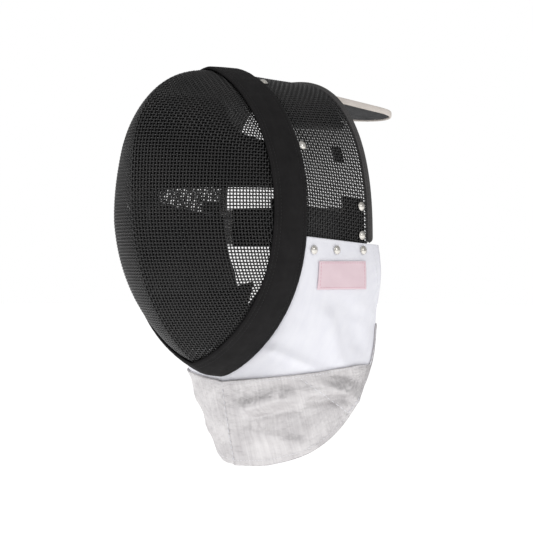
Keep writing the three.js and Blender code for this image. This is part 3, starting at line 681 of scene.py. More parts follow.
band_cloth = cloth(
    "band_black_cloth", (0.008, 0.0075, 0.0078), (0.016, 0.015, 0.0155), 1200, 0.0002, 0.85, 0.15
)
black_thread = cloth("black_thread", (0.012, 0.012, 0.012), (0.03, 0.03, 0.03), 3000, 0.0001, 0.6, 0.3)
band = shape_grid(
    "trim_band_cloth", band_surface, BAND_COLUMNS, BAND_SIDES, joint_line.length, 2 * (BAND_FRONT + BAND_REAR)
)
fit(band, band_cloth, "band_cloth", "trim_band")
band_rows = []
turns = np.linspace(0, 1, 1500)
for row in BAND_STITCH_ROWS:
    for edge, inward in ((-BAND_FRONT, row), (BAND_REAR, -row)):
        along = np.full_like(turns, edge + inward)
        rise = BAND_GAP + BAND_THICKNESS - GROOVE_DEPTH
        path = band_point(turns, along, np.full_like(turns, rise))
        band_rows.append(sew_stitches("band_row", path, outward_of(joint_line, turns)))
band_stitches = join_pieces("trim_band_stitches", band_rows)
fit(band_stitches, black_thread, "band_cloth")

# Rear rim: a padded cloth binding that wraps the raw wire ends of the hood, sewn
# through the mesh along its front edge.
RIM_BEAD_WIDTH = 0.0065
RIM_BEAD_HEIGHT = 0.0064
RIM_END = 0.023
RIM_SETBACK = 0.0003
RIM_CAP = 0.012


def rim_surface(u, v):
    cap = np.minimum(1, np.minimum(u, 1 - u) / RIM_CAP)
    fullness = np.sqrt(np.clip(cap * (2 - cap), 0, 1))
    share = RIM_END + (1 - 2 * RIM_END) * u
    point = rim_point(share)
    outward = outward_of(rim_line, np.clip(share, 0.04, 0.96), 0.001, 0.999)
    angle = 2 * math.pi * v
    notch = 1 - 0.16 * np.exp(-(((v % 1 - 0.36) / 0.035) ** 2))
    reach = 0.5 * RIM_BEAD_HEIGHT * fullness * notch
    point = point + (reach * np.sin(angle) - 0.001)[:, None] * outward
    point[:, 1] += RIM_SETBACK + 0.5 * RIM_BEAD_WIDTH * (1 + fullness * notch * np.cos(angle))
    return point


rim_cloth = cloth("rim_grey_cloth", (0.055, 0.053, 0.053), (0.085, 0.082, 0.081), 1100, 0.0002, 0.8, 0.2)
rim = shape_grid("rear_rim_binding", rim_surface, 240, 24, rim_line.length, 0.02)
fit(rim, rim_cloth, "rim_binding", "rear_rim")
turns = np.linspace(0.02, 0.98, 900)
rim_path = rim_surface(turns, np.full_like(turns, 0.36))
rim_outward = outward_of(rim_line, np.clip(turns, 0.04, 0.96), 0.001, 0.999) + np.array([0, -0.6, 0])
rim_stitches = sew_stitches("rear_rim_stitches", rim_path, rim_outward)
fit(rim_stitches, black_thread, "rim_binding")
rim_stitches.parent = rim

# Lining: foam pads in black jersey, thin at their sewn edges and quilted across, with a
# piped seam round each. The cheek pads have a grey back where they lie on the wire.
PAD_EDGE = 0.003
PAD_SWELL = 3.2
PIPING_RADIUS = 0.0011
BROW_LOWER_Z = -0.096
BROW_UPPER_Z = -0.016
BROW_HALF_WIDTH = 0.083
BROW_SIDE_GAP = 0.012
BROW_PROW_GAP = 0.014
BROW_EDGE_GAP = 0.029
BROW_EDGE_FADE = 0.022
BROW_SIDE_Y = 0.006
BROW_RETURN = 0.042
BROW_RETURN_FROM = 0.37
BROW_RETURN_TOP_Z = -0.046
BROW_RETURN_FADE = 0.010
CROWN_FROM = 0.285
CROWN_SIDE_REACH = 0.16
CHEEK_LOWER = 0.405
CHEEK_UPPER = 0.221
CHEEK_INSET = 0.013
CHIN_LOWER_Z = -0.243
CHIN_UPPER_Z = -0.193
CHIN_RISE = 0.010


def offset_from(surface, distance):
    """The surface a distance away from the head, or towards it if negative."""

    def moved(u, v):
        away = distance(u, v) if callable(distance) else distance
        away = np.broadcast_to(np.asarray(away, float), np.shape(u))[..., None]
        return surface(u, v) + away * surface_normal(surface, u, v)

    return moved


def pad_thickness(full, channels):
    def thickness(u, v):
        swell = np.minimum(1, PAD_SWELL * np.minimum(np.minimum(u, 1 - u), np.minimum(v, 1 - v)))
        thick = PAD_EDGE + (full - PAD_EDGE) * np.sqrt(np.maximum(0, swell * (2 - swell)))
        for channel in channels:
            thick = thick - 0.45 * (thick - PAD_EDGE) * np.exp(-(((v - channel) / 0.02) ** 2))
        return -thick

    return thickness


def sew_pad(name, outer, full, channels, columns, rows, width, length, finishes, slot, node):
    inner = offset_from(outer, pad_thickness(full, channels))
    pad = sew_form(name, outer, inner, columns, rows, width, length, len(finishes) > 1)
    fit(pad, finishes, slot, node)
    round_edge = np.linspace(0, 1, 60)
    flat, one = np.zeros_like(round_edge), np.ones_like(round_edge)
    u = np.concatenate([round_edge, one, round_edge[::-1], flat])
    v = np.concatenate([flat, round_edge, one, round_edge[::-1]])
    edge = evenly(0.5 * (outer(u, v) + inner(u, v)))

    def piping(s, turn):
        here = edge(s)
        along = edge((s + 0.004) % 1) - edge((s - 0.004) % 1)
        along /= np.linalg.norm(along, axis=-1, keepdims=True)
        side = np.cross(along, np.array([0.31, 0.19, 0.93]))
        side /= np.linalg.norm(side, axis=-1, keepdims=True)
        other = np.cross(along, side)
        angle = 2 * math.pi * turn[:, None]
        return here + PIPING_RADIUS * (np.cos(angle) * side + np.sin(angle) * other)

    seam = shape_grid(name + "_piping", piping, 160, 8, edge.length, 0.007)
    fit(seam, finishes[-1], slot)
    seam.parent = pad
    return pad


def crown_outer(u, v):
    along = CROWN_FROM + (1 - 2 * CROWN_FROM) * u
    beside = np.clip((np.abs(2 * u - 1) - 0.35) / 0.25, 0, 1)
    reach = 0.83 + CROWN_SIDE_REACH * beside**2 * (3 - 2 * beside)
    return offset_from(hood_point, -0.0032)(along, -0.05 + reach * v)


def brow_outer(u, v):
    z = BROW_LOWER_Z + (BROW_UPPER_Z - BROW_LOWER_Z) * v
    turn = np.sin((u - 0.5) * math.pi)
    x = np.minimum(BROW_HALF_WIDTH, oval_half_width(z) - BROW_SIDE_GAP) * turn
    above = np.maximum(0, z - BROW_LOWER_Z) / BROW_EDGE_FADE
    gap = BROW_PROW_GAP + (BROW_EDGE_GAP - BROW_PROW_GAP) * np.exp(-(above**2))
    depth = (prow_depth(z) - gap) * prow_section(np.abs(x) / oval_half_width(z), z)
    from_end = np.maximum(0, (np.abs(u - 0.5) - BROW_RETURN_FROM) / (0.5 - BROW_RETURN_FROM))
    below = np.clip((BROW_RETURN_TOP_Z - z) / BROW_RETURN_FADE, 0, 1)
    rearward = BROW_RETURN * from_end * below
    return np.stack([x, joint_y(z) + rearward - np.maximum(BROW_SIDE_Y, depth), z], -1)


CHEEK_REAR = (0.030, 0.058, 0.062, 0.055, 0.051)


def cheek_outer(side):
    def at(u, v):
        t = CHEEK_LOWER + (CHEEK_UPPER - CHEEK_LOWER) * v
        point = joint_line(t) - CHEEK_INSET * outward_of(joint_line, t)
        front = -0.061 + 0.011 * np.minimum(1, 2.5 * v)
        rear = np.interp(v, np.linspace(0, 1, len(CHEEK_REAR)), CHEEK_REAR)
        point[..., 1] = front + (rear - front) * u
        point[..., 2] -= 0.013 * v * u
        point[..., 0] *= side
        return point

    return at


def chin_outer(u, v):
    turn = np.sin((u - 0.5) * 0.97 * math.pi)
    upper = CHIN_UPPER_Z + CHIN_RISE * turn**4
    z = CHIN_LOWER_Z + (upper - CHIN_LOWER_Z) * v
    x = (oval_half_width(z) - 0.010) * turn
    depth = (prow_depth(z) - 0.014) * prow_section(np.abs(x) / oval_half_width(z), z)
    return np.stack([x, joint_y(z) - np.maximum(depth, 0.005), z], -1)


black_jersey = cloth(
    "pad_black_jersey", (0.004, 0.004, 0.0042), (0.009, 0.009, 0.0095), 1400, 0.00015, 0.93, 0.1
)
grey_backing = cloth("pad_grey_backing", (0.17, 0.17, 0.18), (0.24, 0.24, 0.25), 1400, 0.00015, 0.9, 0.2)


def sew_black_pad(name, outer, full, channels, columns, rows, width, length):
    sew_pad(
        f"{name}_cushion", outer, full, channels, columns, rows, width, length,
        [black_jersey], "black_padding", f"{name}_pad",
    )


sew_black_pad("crown", crown_outer, 0.0079, (0.5,), 72, 32, 0.28, 0.09)
sew_black_pad("brow", brow_outer, 0.012, (0.36, 0.7), 80, 36, 0.3, 0.1)
for name, side in (("left", 1), ("right", -1)):
    sew_pad(
        f"cheek_cushion_{name}", cheek_outer(side), 0.009, (0.4, 0.72), 44, 44, 0.11, 0.14,
        [black_jersey, grey_backing], "grey_padding", f"cheek_pad_{name}",
    )
sew_black_pad("chin", chin_outer, 0.008, (0.5,), 72, 26, 0.25, 0.06)

# Webbing: two short tabs that hold the lining to the hood, and an anchor of doubled
# webbing inside each side for the rear strap. Each is riveted or stitched to the wire.
WIRE_BACK = 0.0023
tab_webbing = cloth(
    "tab_grey_webbing", (0.025, 0.025, 0.026), (0.045, 0.045, 0.047), 900, 0.0003, 0.85, 0.2
)
black_webbing = cloth(
    "anchor_black_webbing", (0.006, 0.006, 0.006), (0.014, 0.014, 0.014), 900, 0.0003, 0.85, 0.2
)
for kind, node, upper, lower, front, rear, thick, finish, slot in (
    ("lining_tab", "pad_tab", 0.765, 0.805, 0.68, 0.80, 0.0017, tab_webbing, "tab_cloth"),
    (
        "strap_anchor_webbing", "strap_anchor", 0.882, 0.985, 0.72, 0.985, 0.0022,
        black_webbing, "black_padding",
    ),
):
    for name in ("left", "right"):

        def webbing(inset, upper=upper, lower=lower, front=front, rear=rear, name=name):
            def at(u, v):
                along = upper + (lower - upper) * u
                along = along if name == "left" else 1 - along
                return offset_from(hood_point, -inset)(along, front + (rear - front) * v)

            return at

        under, over = webbing(WIRE_BACK), webbing(WIRE_BACK + thick)
        piece = sew_form(f"{kind}_{name}", under, over, 10, 10, 0.045, 0.04)
        apply_modifier(piece, "BEVEL", width=0.0005, segments=2, limit_method="ANGLE", angle_limit=0.8)
        fit(piece, finish, slot, f"{node}_{name}")

# Rear strap: a padded panel behind the head with, at the wearer's left, the long ribbed
# elastic that sets its fit, and a short elastic at the right.
STRAP_END_X = 0.0906
STRAP_Z = -0.1295
STRAP_THICKNESS = 0.0022
PANEL_FROM = 0.07
PANEL_TO = 0.57
PANEL_HEIGHT = 0.037
PANEL_LENGTH = 0.09
ELASTIC_HEIGHT = 0.034
ELASTIC_GAP = 0.003
RIB = 0.0002


def strap_surface(from_share, to_share, height, rise, ribs=0.0):
    def at(u, v):
        across = 2 * (from_share + (to_share - from_share) * u) - 1
        y = 0.058 + 0.008 * np.maximum(0, 1 - across**2) ** 0.75 + (rise(u, v) if callable(rise) else rise)
        y = y + ribs * np.cos(2 * math.pi * v * height / 0.003)
        return np.stack([across * STRAP_END_X, y, STRAP_Z + height * (v - 0.5)], -1)

    return at


def panel_rise(u, v):
    swell = np.minimum(1, 6 * np.minimum(np.minimum(u, 1 - u), np.minimum(v, 1 - v)))
    rise = 0.0012 + 0.0022 * np.sqrt(swell * (2 - swell))
    for channel in (0.25, 0.5, 0.75):
        rise = rise - 0.0012 * np.exp(-(((u - channel) / 0.012) ** 2))
    return rise


elastic_cloth = cloth("strap_cream_elastic", (0.74, 0.73, 0.70), (0.88, 0.87, 0.84), 1000, 0.0003, 0.85, 0.2)
panel = sew_form(
    "strap_cushion", strap_surface(PANEL_FROM, PANEL_TO, PANEL_HEIGHT, panel_rise),
    strap_surface(PANEL_FROM, PANEL_TO, PANEL_HEIGHT, 0.0), 60, 20, PANEL_LENGTH, PANEL_HEIGHT,
)
fit(panel, black_jersey, "black_padding", "strap_panel")
for name, start, end in (("right", 0.0, PANEL_FROM - ELASTIC_GAP), ("left", PANEL_TO + ELASTIC_GAP, 1.0)):
    band_elastic = sew_form(
        f"strap_webbing_{name}", strap_surface(start, end, ELASTIC_HEIGHT, STRAP_THICKNESS - RIB, RIB),
        strap_surface(start, end, ELASTIC_HEIGHT, RIB, -RIB), 20, 66,
        0.18 * (end - start), ELASTIC_HEIGHT,
    )
    fit(band_elastic, elastic_cloth, "elastic", f"strap_elastic_{name}")

# Head spring: a flat steel strip from under the crown that presses a padded, cloth
# covered plate to the back of the head. A cream binding is sewn round the plate.
TONGUE_ROOT = Vector((0, 0.044, -0.0046))
TONGUE_SLOPE = math.radians(6.5)
TONGUE_HALF = 0.042
TONGUE_ROOT_HALF = 0.028
TONGUE_SHOULDER = 0.036
TONGUE_LENGTH = (0.187 - 0.044) / math.cos(TONGUE_SLOPE)
TONGUE_THICKNESS = 0.0042
BINDING_HEIGHT = 0.0058
BINDING_WIDTH = 0.0022


def on_tongue(x, along, height):
    y = TONGUE_ROOT.y + along * math.cos(TONGUE_SLOPE) + height * math.sin(TONGUE_SLOPE)
    z = TONGUE_ROOT.z - along * math.sin(TONGUE_SLOPE) + height * math.cos(TONGUE_SLOPE)
    return np.stack([x, y, z], -1)


def tongue_half(along, inset):
    straight = TONGUE_LENGTH - TONGUE_HALF
    widening = np.minimum(1, along / TONGUE_SHOULDER)
    half = TONGUE_ROOT_HALF + (TONGUE_HALF - TONGUE_ROOT_HALF) * widening - inset
    past = np.clip((along - straight) / (TONGUE_HALF - inset), 0, 1)
    return half * np.sqrt(np.maximum(0, 1 - past**2))


def tongue_face(side):
    inset = BINDING_WIDTH * 0.6

    def at(u, v):
        along = inset + (TONGUE_LENGTH - 2 * inset) * np.sin(0.5 * math.pi * v)
        across = 2 * u - 1
        x = across * tongue_half(along, inset)
        swell = np.clip(1 - np.maximum(np.abs(across), np.abs(2 * v - 1)) ** 6, 0, 1)
        quilt = 0.0008 * np.exp(-((x / 0.0016) ** 2))
        height = side * (0.5 * TONGUE_THICKNESS - 0.0012 + 0.0008 * swell - quilt * swell)
        return on_tongue(x, along, height)

    return at


turns = np.linspace(0, 0.5 * math.pi, 60)
straight = TONGUE_LENGTH - TONGUE_HALF
TONGUE_CORNER = 0.003
half_x = np.concatenate([
    [0, TONGUE_ROOT_HALF - TONGUE_CORNER, TONGUE_ROOT_HALF, TONGUE_HALF], TONGUE_HALF * np.cos(turns),
])
half_y = np.concatenate([[0, 0, TONGUE_CORNER, TONGUE_SHOULDER], straight + TONGUE_HALF * np.sin(turns)])
outline_x = np.concatenate([half_x, -half_x[-2::-1]])
outline_y = np.concatenate([half_y, half_y[-2::-1]])
outline = np.stack([outline_x, outline_y, np.zeros_like(outline_x)], -1)
tongue_edge = evenly(outline)


def binding_surface(u, v):
    here = tongue_edge(u)
    ahead = tongue_edge((u + 0.004) % 1) - tongue_edge((u - 0.004) % 1)
    ahead /= np.linalg.norm(ahead, axis=-1, keepdims=True)
    inward = np.stack([-ahead[:, 1], ahead[:, 0]], -1)
    angle = 2 * math.pi * v
    out = 0.5 * BINDING_WIDTH * (1 + np.sign(np.cos(angle)) * np.abs(np.cos(angle)) ** 0.8)
    up = 0.5 * BINDING_HEIGHT * np.sign(np.sin(angle)) * np.abs(np.sin(angle)) ** 0.7
    return on_tongue(here[:, 0] + inward[:, 0] * out, here[:, 1] + inward[:, 1] * out, up)


tongue_cloth = cloth("tongue_dark_cloth", (0.022, 0.022, 0.023), (0.04, 0.04, 0.042), 1300, 0.0002, 0.85, 0.2)
cream_tape = cloth("binding_cream_tape", (0.58, 0.53, 0.49), (0.74, 0.68, 0.63), 1100, 0.0002, 0.8, 0.25)
tongue = sew_form("head_spring_cushion", tongue_face(1), tongue_face(-1), 48, 60, 0.08, 0.14)
fit(tongue, tongue_cloth, "tongue_cloth", "tongue")
binding = shape_grid("head_spring_binding", binding_surface, 200, 16, tongue_edge.length, 0.016)
fit(binding, cream_tape, "cream_binding", "tongue_binding")
spring_steel = painted(
    "brushed_spring_steel", 1, 300, (0.25, 0.45), 60, (0.38, 0.38, 0.4), (0.52, 0.52, 0.53)
)
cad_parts["tongue_spring"].data.materials.clear()
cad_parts["tongue_spring"].data.materials.append(spring_steel)

# Bib: layers of white cloth sewn to the band round the chin and snapped to the hood,
# hanging in soft folds with a crease down the throat.
BIB_SIDE_X = 0.1006
BIB_REAR_Y = 0.073
BIB_TOP_Z = -0.148
BIB_THICKNESS = 0.0026
BAND_SHARE_OF_TOP = 0.6
BIB_BAND_END = 0.27
BIB_CHIN_STANDOFF = 0.0008
BIB_STANDOFF = 0.0036
BIB_BEHIND_BAND = 0.0007
BIB_BULGE = 0.004
HEM_SWING = 0.015
HEM_POINTS = ((0, -12, -354), (36, -4, -352), (71, 17, -338), (88, 46, -307), (96, 67, -261), (99, 73, -204))
# Folds in the cloth: where each starts and ends, as share across and height, then its
# half width and how far it stands out.
BIB_FOLDS = (
    (0.525, -0.300, 0.640, -0.283, 0.006, 0.0034),
    (0.535, -0.312, 0.650, -0.297, 0.005, -0.0016),
    (0.650, -0.293, 0.780, -0.289, 0.004, -0.0016),
    (0.660, -0.283, 0.790, -0.277, 0.006, 0.0014),
    (0.530, -0.318, 0.640, -0.332, 0.006, 0.0018),
    (0.700, -0.272, 0.830, -0.303, 0.004, 0.0014),
    (0.730, -0.262, 0.860, -0.286, 0.006, -0.0010),
    (0.600, -0.240, 0.705, -0.262, 0.005, 0.0014),
    (0.780, -0.205, 0.760, -0.262, 0.008, 0.0014),
    (0.860, -0.190, 0.840, -0.250, 0.010, -0.0012),
    (0.380, -0.296, 0.300, -0.285, 0.006, 0.0020),
    (0.400, -0.325, 0.310, -0.318, 0.007, 0.0016),
    (0.270, -0.280, 0.180, -0.300, 0.005, 0.0016),
    (0.230, -0.210, 0.250, -0.265, 0.008, 0.0014),
)


# Seams in the lower cloth, as the same two places: the front seam, a long dart and a
# short dart on each side.
BIB_SEAMS = (
    (0.500, -0.276, 0.500, -0.352),
    (0.660, -0.270, 0.800, -0.322),
    (0.860, -0.264, 0.905, -0.284),
    (0.340, -0.270, 0.200, -0.322),
    (0.140, -0.264, 0.095, -0.284),
)
SEAM_WIDTH = 0.0022
SEAM_DEPTH = 0.0009


def smooth_line(points):
    """An evenly measured curve that passes smoothly through points."""
    ends = np.vstack([2 * points[0] - points[1], points, 2 * points[-1] - points[-2]])
    place = np.linspace(0, len(points) - 1, 600)
    i = np.minimum(place.astype(int), len(points) - 2)
    f = (place - i)[:, None]
    a, b, c, d = ends[i], ends[i + 1], ends[i + 2], ends[i + 3]
    bend = (2 * a - 5 * b + 4 * c - d) * f**2
    return evenly(0.5 * (2 * b + (c - a) * f + bend + (3 * b - a - 3 * c + d) * f**3))


hem_line = smooth_line(np.array(HEM_POINTS) / 1000)


def bib_point(u, v):
    across = 2 * np.asarray(u, float) - 1
    side = np.where(across < 0, -1.0, 1.0)
    share = np.minimum(1, np.abs(across))
    v = np.asarray(v, float)
    on_band = np.minimum(1, share / BAND_SHARE_OF_TOP)
    t = 0.5 + (BIB_BAND_END - 0.5) * on_band
    standoff = BIB_CHIN_STANDOFF + (BIB_STANDOFF - BIB_CHIN_STANDOFF) * on_band
    top = joint_line(t) + standoff[..., None] * outward_of(joint_line, t)
    top[..., 1] += BAND_REAR + BIB_BEHIND_BAND
    level = np.maximum(0, (share - BAND_SHARE_OF_TOP) / (1 - BAND_SHARE_OF_TOP))[..., None]
    top = top * (1 - level) + np.array([BIB_SIDE_X, BIB_REAR_Y, BIB_TOP_Z]) * level
    hem = hem_line(share**0.9)
    hem[..., 1] += np.where(side < 0, HEM_SWING * np.sin(math.pi * share**0.6), 0)
    point = top * (1 - v[..., None]) + hem * v[..., None]
    bulge = BIB_BULGE * np.sin(math.pi * np.clip(v, 0, 1))
    point[..., 0] += bulge * np.sin(0.5 * math.pi * share)
    point[..., 1] -= 0.15 * bulge * np.cos(0.5 * math.pi * share)
    point[..., 0] *= side
    return point


def bib_share_at(u, z):
    top = bib_point(u, np.zeros_like(u))[..., 2]
    hem = bib_point(u, np.ones_like(u))[..., 2]
    return np.clip((top - z) / (top - hem), 0.03, 0.97)


BIB_SPREAD = 0.34
FOLD_SETTLES_Z = -0.185
FOLD_SETTLES_OVER = 0.03
LEFT_FULLNESS = 2.3
RIGHT_FULLNESS = 0.9
THROAT_CREASE_HEIGHT = 0.0022
THROAT_CREASE_SHARE = 0.010
RIPPLE_HEIGHT = 0.0005


def along_line(u, z, u0, z0, u1, z1):
    """Share of the way along a line on the bib, and the distance to one side of it."""
    run_x, run_z = (u1 - u0) * BIB_SPREAD, z1 - z0
    x, y = (u - u0) * BIB_SPREAD, z - z0
    along = (x * run_x + y * run_z) / (run_x**2 + run_z**2)
    return along, (x * run_z - y * run_x) / math.hypot(run_x, run_z)


def bib_folds(u, v):
    """How far the folds lift the cloth, fading to nothing at its sewn top edge."""
    z = bib_point(u, v)[..., 2]
    lift = THROAT_CREASE_HEIGHT * np.exp(-(((u - 0.5) / THROAT_CREASE_SHARE) ** 2))
    fullness = np.where(u > 0.5, LEFT_FULLNESS, RIGHT_FULLNESS)
    for *line, width, height in BIB_FOLDS:
        along, off = along_line(u, z, *line)
        ends = np.exp(-(np.maximum(0, np.abs(along - 0.5) * 2 - 0.6) ** 2) / 0.12)
        lift = lift + fullness * height * ends * np.exp(-((off / width) ** 2))
    for line in BIB_SEAMS:
        along, off = along_line(u, z, *line)
        lift = lift - SEAM_DEPTH * (np.abs(along - 0.5) < 0.5) * np.exp(-((off / SEAM_WIDTH) ** 2))
    ripple = np.sin(u * 31 + 3 * np.sin(z * 60)) * np.sin(z * 95 + 2 * np.sin(u * 14))
    lift = lift + RIPPLE_HEIGHT * ripple
    below_top = np.clip((v - 0.02) / 0.1, 0, 1)
    near_hem = np.clip((1 - v) / 0.03 + 0.25, 0, 1)
    return lift * np.clip((FOLD_SETTLES_Z - z) / FOLD_SETTLES_OVER, 0, 1) * below_top * near_hem


def on_bib(rise):
    def at(u, v):
        height = rise(u, v) if callable(rise) else rise
        normal = surface_normal(bib_point, np.clip(u, 0.003, 0.997), v)
        return bib_point(u, v) + (bib_folds(u, v) + height)[..., None] * normal

    return at


def bib_edge(u, v):
    """The hems: cloth doubled over along the bottom and both rear edges."""
    from_hem = (1 - v) * 0.1
    from_side = np.minimum(u, 1 - u) * 0.36
    near = np.minimum(from_hem, from_side)
    return 0.0006 * (1 / (1 + np.exp((near - 0.008) / 0.0006)))


white_cloth = cloth("bib_white_cloth", (0.80, 0.80, 0.86), (0.90, 0.90, 0.94), 1300, 0.00015, 0.9, 0.2)
white_thread = cloth("white_thread", (0.75, 0.75, 0.78), (0.85, 0.85, 0.88), 3000, 0.0001, 0.7, 0.3)
BIB_WIDTH = 0.36
BIB_LENGTH = 0.22
bib = sew_form(
    "bib_cloth", on_bib(lambda u, v: bib_edge(u, v) - 0.0006), on_bib(-BIB_THICKNESS), 200, 90,
    BIB_WIDTH, BIB_LENGTH,
)
fit(bib, white_cloth, "white_cloth", "bib")
bib_top_length = 2 * float(lengths_along(bib_point(np.linspace(0.5, 1, 200), np.zeros(200)))[-1])

# Lower bib: a silvery conductive cloth with metal thread, turned under along its top
# edge and sewn over the white cloth, with its own hem and a dart at each side.
LAME_FROM = 0.045
LAME_FRONT_Z = -0.274
LAME_SIDE_Z = -0.259


def lame_uv(u, v):
    u = LAME_FROM + (1 - 2 * LAME_FROM) * u
    rise = np.minimum(1, 1.6 * np.abs(2 * u - 1))
    start = bib_share_at(u, LAME_FRONT_Z + (LAME_SIDE_Z - LAME_FRONT_Z) * rise)
    return u, start + (0.995 - start) * v


def lame_surface(rise):
    def at(u, v):
        own = 0.0003 * np.sin(u * 210 + 4 * np.sin(v * 9)) * np.sin(v * 40 + 3 * np.sin(u * 25))
        own = own * np.clip(8 * np.minimum(v, 1 - v), 0, 1)
        hem = 0.0004 * (1 / (1 + np.exp((np.minimum(v, 1 - v) * 0.09 - 0.006) / 0.0005)))
        return on_bib(rise + (own + hem if rise > 0.0005 else 0 * u))(*lame_uv(u, v))

    return at


SILVER = (0.6, 0.59, 0.59)
silver_cloth, silver_nodes, silver_links, silver_shader = new_finish("bib_silver_cloth", SILVER, 0.5)
silver_coords = silver_nodes.new("ShaderNodeTexCoord")
silver_stretch = silver_nodes.new("ShaderNodeMapping")
silver_stretch.inputs["Scale"].default_value = (520, 22, 1)
silver_links.new(silver_coords.outputs["UV"], silver_stretch.inputs["Vector"])
silver_threads = silver_nodes.new("ShaderNodeTexNoise")
silver_threads.inputs["Scale"].default_value = 1
silver_threads.inputs["Detail"].default_value = 3
silver_links.new(silver_stretch.outputs["Vector"], silver_threads.inputs["Vector"])
silver_bump = silver_nodes.new("ShaderNodeBump")
silver_bump.inputs["Strength"].default_value = 0.6
silver_bump.inputs["Distance"].default_value = 0.0005
silver_links.new(silver_threads.outputs["Fac"], silver_bump.inputs["Height"])
crinkle = silver_nodes.new("ShaderNodeBump")
crinkle.inputs["Strength"].default_value = 0.5
crinkle.inputs["Distance"].default_value = 0.002
silver_links.new(place_mottle(silver_cloth, "UV", 130, 0, 1), crinkle.inputs["Height"])
silver_links.new(silver_bump.outputs["Normal"], crinkle.inputs["Normal"])
silver_links.new(crinkle.outputs["Normal"], silver_shader.inputs["Normal"])
silver_mix = silver_nodes.new("ShaderNodeMath")
silver_mix.operation = "MULTIPLY_ADD"
silver_links.new(silver_threads.outputs["Fac"], silver_mix.inputs[0])
silver_mix.inputs[1].default_value = 0.6
silver_links.new(place_mottle(silver_cloth, "UV", 45, 0, 0.4), silver_mix.inputs[2])
tint(silver_cloth, silver_mix.outputs["Value"], (0.38, 0.36, 0.37), (0.82, 0.80, 0.80))
silver_shader.inputs["Metallic"].default_value = 0.5
silver_links.new(place_mottle(silver_cloth, "UV", 90, 0.42, 0.6), silver_shader.inputs["Roughness"])
lame = sew_form("bib_lower_cloth", lame_surface(0.0013), lame_surface(0.0003), 200, 60, 0.33, 0.09)
fit(lame, silver_cloth, "lame", "bib_lame")

turns = np.linspace(0, 1, 700)
flat = np.zeros_like(turns)
stitch_rows = []
for surface, u, v in (
    (lame_surface(0.0013), 0.01 + 0.98 * turns, flat + 0.035),
    (lame_surface(0.0013), 0.01 + 0.98 * turns, flat + 0.935),
    (on_bib(0.0), flat + 0.018, 0.04 + 0.9 * turns),
    (on_bib(0.0), flat + 0.982, 0.04 + 0.9 * turns),
):
    path = surface(u, v)
    stitch_rows.append(sew_stitches("bib_row", path, surface_normal(surface, u, v)))
for u0, z0, u1, z1 in BIB_SEAMS:
    u = u0 + (u1 - u0) * turns
    v = bib_share_at(u, z0 + (z1 - z0) * turns)
    surface = on_bib(0.0014)
    normals = surface_normal(surface, u, v)
    stitch_rows.append(sew_stitches("bib_row", surface(u, v), normals, 1.7))
bib_stitches = join_pieces("bib_stitches", stitch_rows)
fit(bib_stitches, white_thread, "white_cloth")

# Patch: a plain pale pink square of cloth, sewn on all round.
PATCH_FRONT = 0.788
PATCH_REAR = 0.937
PATCH_LOWER_Z = -0.189
PATCH_UPPER_Z = -0.163


def patch_surface(rise):
    """Upright on the side of the bib: each place is found by its distance back and height."""
    ends = np.array([PATCH_FRONT, PATCH_REAR])
    level = np.full(2, 0.5 * (PATCH_LOWER_Z + PATCH_UPPER_Z))
    front, rear = bib_point(ends, bib_share_at(ends, level))[:, 1]

    def at(u, v):
        z = PATCH_LOWER_Z + (PATCH_UPPER_Z - PATCH_LOWER_Z) * v
        near, far = np.full_like(u, 0.6), np.full_like(u, 1.0)
        for _ in range(20):
            middle = 0.5 * (near + far)
            behind = bib_point(middle, bib_share_at(middle, z))[..., 1] > front + (rear - front) * u
            near, far = np.where(behind, near, middle), np.where(behind, middle, far)
        return on_bib(rise)(middle, bib_share_at(middle, z))

    return at


pink_cloth = cloth("patch_pink_cloth", (0.72, 0.55, 0.60), (0.84, 0.68, 0.72), 1500, 0.0001, 0.75, 0.3)
patch = sew_form("patch_cloth", patch_surface(0.0009), patch_surface(0.0003), 24, 16, 0.046, 0.026)
apply_modifier(patch, "BEVEL", width=0.0003, segments=2, limit_method="ANGLE", angle_limit=0.8)
fit(patch, pink_cloth, "label_cloth", "label_patch")
around = np.linspace(0, 1, 60)
edge_u = np.concatenate([around, around * 0 + 1, 1 - around, around * 0])
edge_v = np.concatenate([around * 0, around, around * 0 + 1, 1 - around])
edge_u, edge_v = 0.04 + 0.92 * edge_u, 0.07 + 0.86 * edge_v
patch_top = patch_surface(0.0009)
patch_stitches = sew_stitches(
    "patch_stitches", patch_top(edge_u, edge_v), surface_normal(patch_top, edge_u, edge_v)
)
rose_thread = cloth("patch_rose_thread", (0.62, 0.30, 0.38), (0.72, 0.42, 0.5), 3000, 0.0001, 0.7)
fit(patch_stitches, rose_thread, "label_cloth")

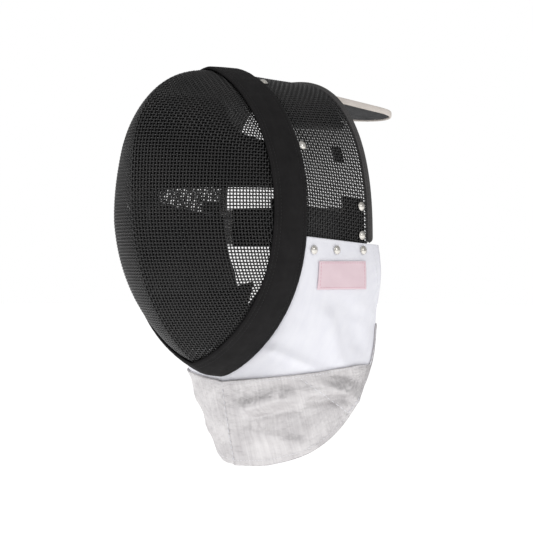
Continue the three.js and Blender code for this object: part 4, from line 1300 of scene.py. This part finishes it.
# Rivets and snaps: pressed nickel caps, domed with a narrow brim, through the hood wire
# and through the top of the bib.
RIVET_RADIUS = 0.0043
RIVET_RISE = 0.0021
RIVET_STANDOFF = 0.00055
HOOD_RIVETS = (
    ("crown", 0.572, 0.285),
    ("temple", 0.775, 0.27),
    ("strap_upper", 0.9, 0.92),
    ("strap_lower", 0.963, 0.92),
)
BIB_RIVETS = (0.804, 0.87, 0.95)

nickel = painted("nickel", 1, 400, (0.16, 0.34), 120, (0.62, 0.59, 0.54), (0.80, 0.78, 0.74))


def rivet_cap(name, place, outward):
    right = np.cross(outward, (0, 0, 1.0))
    right /= np.linalg.norm(right)
    other = np.cross(right, outward)
    base = place + RIVET_STANDOFF * outward

    def at(u, v):
        out = np.clip(1.25 * v, 0, 1)
        brim = 0.22 * np.sqrt(np.clip(1 - ((out - 0.9) / 0.1) ** 2, 0, 1)) * (out > 0.8)
        dome = np.maximum(0, 1 - (out / 0.86) ** 2.4) ** 0.7
        height = np.where(v <= 0.8, np.maximum(dome, brim), 0)
        out = np.where(v <= 0.8, out, np.clip((1 - v) / 0.2, 0, 1))
        angle = 2 * math.pi * u
        flat = (np.cos(angle) * out)[:, None] * right + (np.sin(angle) * out)[:, None] * other
        return base + RIVET_RADIUS * flat + RIVET_RISE * height[:, None] * outward

    return shape_grid(name, at, 32, 26, 0.027, 0.01)


for place, u, v in HOOD_RIVETS:
    for name, share in (("left", u), ("right", 1 - u)):
        at = np.array([share]), np.array([v])
        cap = rivet_cap(f"{place}_cap_{name}", hood_point(*at)[0], surface_normal(hood_point, *at)[0])
        fit(cap, nickel, "nickel", f"rivet_{place}_{name}")
for number, u in enumerate(BIB_RIVETS, 1):
    for name, share in (("left", u), ("right", 1 - u)):
        at = np.array([share]), bib_share_at(np.array([share]), BIB_TOP_Z - 0.005)
        cap = rivet_cap(f"bib_snap_{name}_{number}", bib_point(*at)[0], surface_normal(bib_point, *at)[0])
        fit(cap, nickel, "nickel", f"rivet_bib_{name}_{number}")
